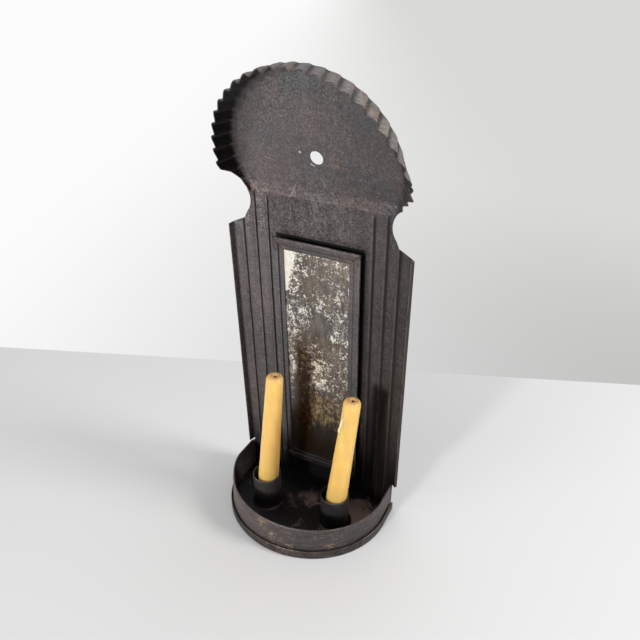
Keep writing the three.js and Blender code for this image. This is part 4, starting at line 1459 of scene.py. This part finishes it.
class SCONCE_OT_mirror(bpy.types.Operator):
    """Build the old looking glass"""

    bl_idname = "sconce.mirror"
    bl_label = "Looking glass"

    def execute(self, context):
        build_mirror()
        return {"FINISHED"}


class SCONCE_OT_drip_pan(bpy.types.Operator):
    """Build the drip pan's wall, floor and lip"""

    bl_idname = "sconce.drip_pan"
    bl_label = "Drip pan"

    def execute(self, context):
        build_pan()
        return {"FINISHED"}


class SCONCE_OT_sockets(bpy.types.Operator):
    """Build both candle sockets with their pierced holes"""

    bl_idname = "sconce.sockets"
    bl_label = "Sockets"

    def execute(self, context):
        build_sockets()
        return {"FINISHED"}


class SCONCE_OT_candles(bpy.types.Operator):
    """Build both candles and their wicks"""

    bl_idname = "sconce.candles"
    bl_label = "Candles"

    def execute(self, context):
        build_candles()
        return {"FINISHED"}


class SCONCE_OT_solder(bpy.types.Operator):
    """Build the solder round the sockets and behind the crest"""

    bl_idname = "sconce.solder"
    bl_label = "Solder"

    def execute(self, context):
        build_solder()
        return {"FINISHED"}


class SCONCE_OT_hidden_pieces(bpy.types.Operator):
    """Finish the pieces that keep their frame shapes"""

    bl_idname = "sconce.hidden_pieces"
    bl_label = "Hidden pieces"

    def execute(self, context):
        build_hidden()
        return {"FINISHED"}


class SCONCE_OT_stage(bpy.types.Operator):
    """Set the table, backdrop, lamps and camera"""

    bl_idname = "sconce.stage"
    bl_label = "Stage"

    def execute(self, context):
        build_stage()
        return {"FINISHED"}


OPERATORS = (
    SCONCE_OT_back_plate,
    SCONCE_OT_crest,
    SCONCE_OT_mirror_frame,
    SCONCE_OT_mirror,
    SCONCE_OT_drip_pan,
    SCONCE_OT_sockets,
    SCONCE_OT_candles,
    SCONCE_OT_solder,
    SCONCE_OT_hidden_pieces,
    SCONCE_OT_stage,
)


class SCONCE_PT_panel(bpy.types.Panel):
    """Sizes, colours and pieces of the sconce"""

    bl_idname = "SCONCE_PT_panel"
    bl_label = "Mirror-back sconce"
    bl_space_type = "VIEW_3D"
    bl_region_type = "UI"
    bl_category = "Sconce"

    def draw(self, context):
        for group in (context.scene.sconce_sizes, context.scene.sconce_colours):
            box = self.layout.box()
            for name in group.bl_rna.properties.keys():
                if name not in ("rna_type", "name"):
                    box.prop(group, name)
        for operator in OPERATORS:
            self.layout.operator(operator.bl_idname)


CLASSES = (SconceSizes, SconceColours, *OPERATORS, SCONCE_PT_panel)


def register():
    for cls in CLASSES:
        bpy.utils.register_class(cls)
    bpy.types.Scene.sconce_sizes = PointerProperty(type=SconceSizes)
    bpy.types.Scene.sconce_colours = PointerProperty(type=SconceColours)


def unregister():
    del bpy.types.Scene.sconce_colours
    del bpy.types.Scene.sconce_sizes
    for cls in reversed(CLASSES):
        bpy.utils.unregister_class(cls)


def main():
    register()
    for operator in OPERATORS:
        _, name = operator.bl_idname.split(".")
        getattr(bpy.ops.sconce, name)()


if __name__ == "__main__":
    main()
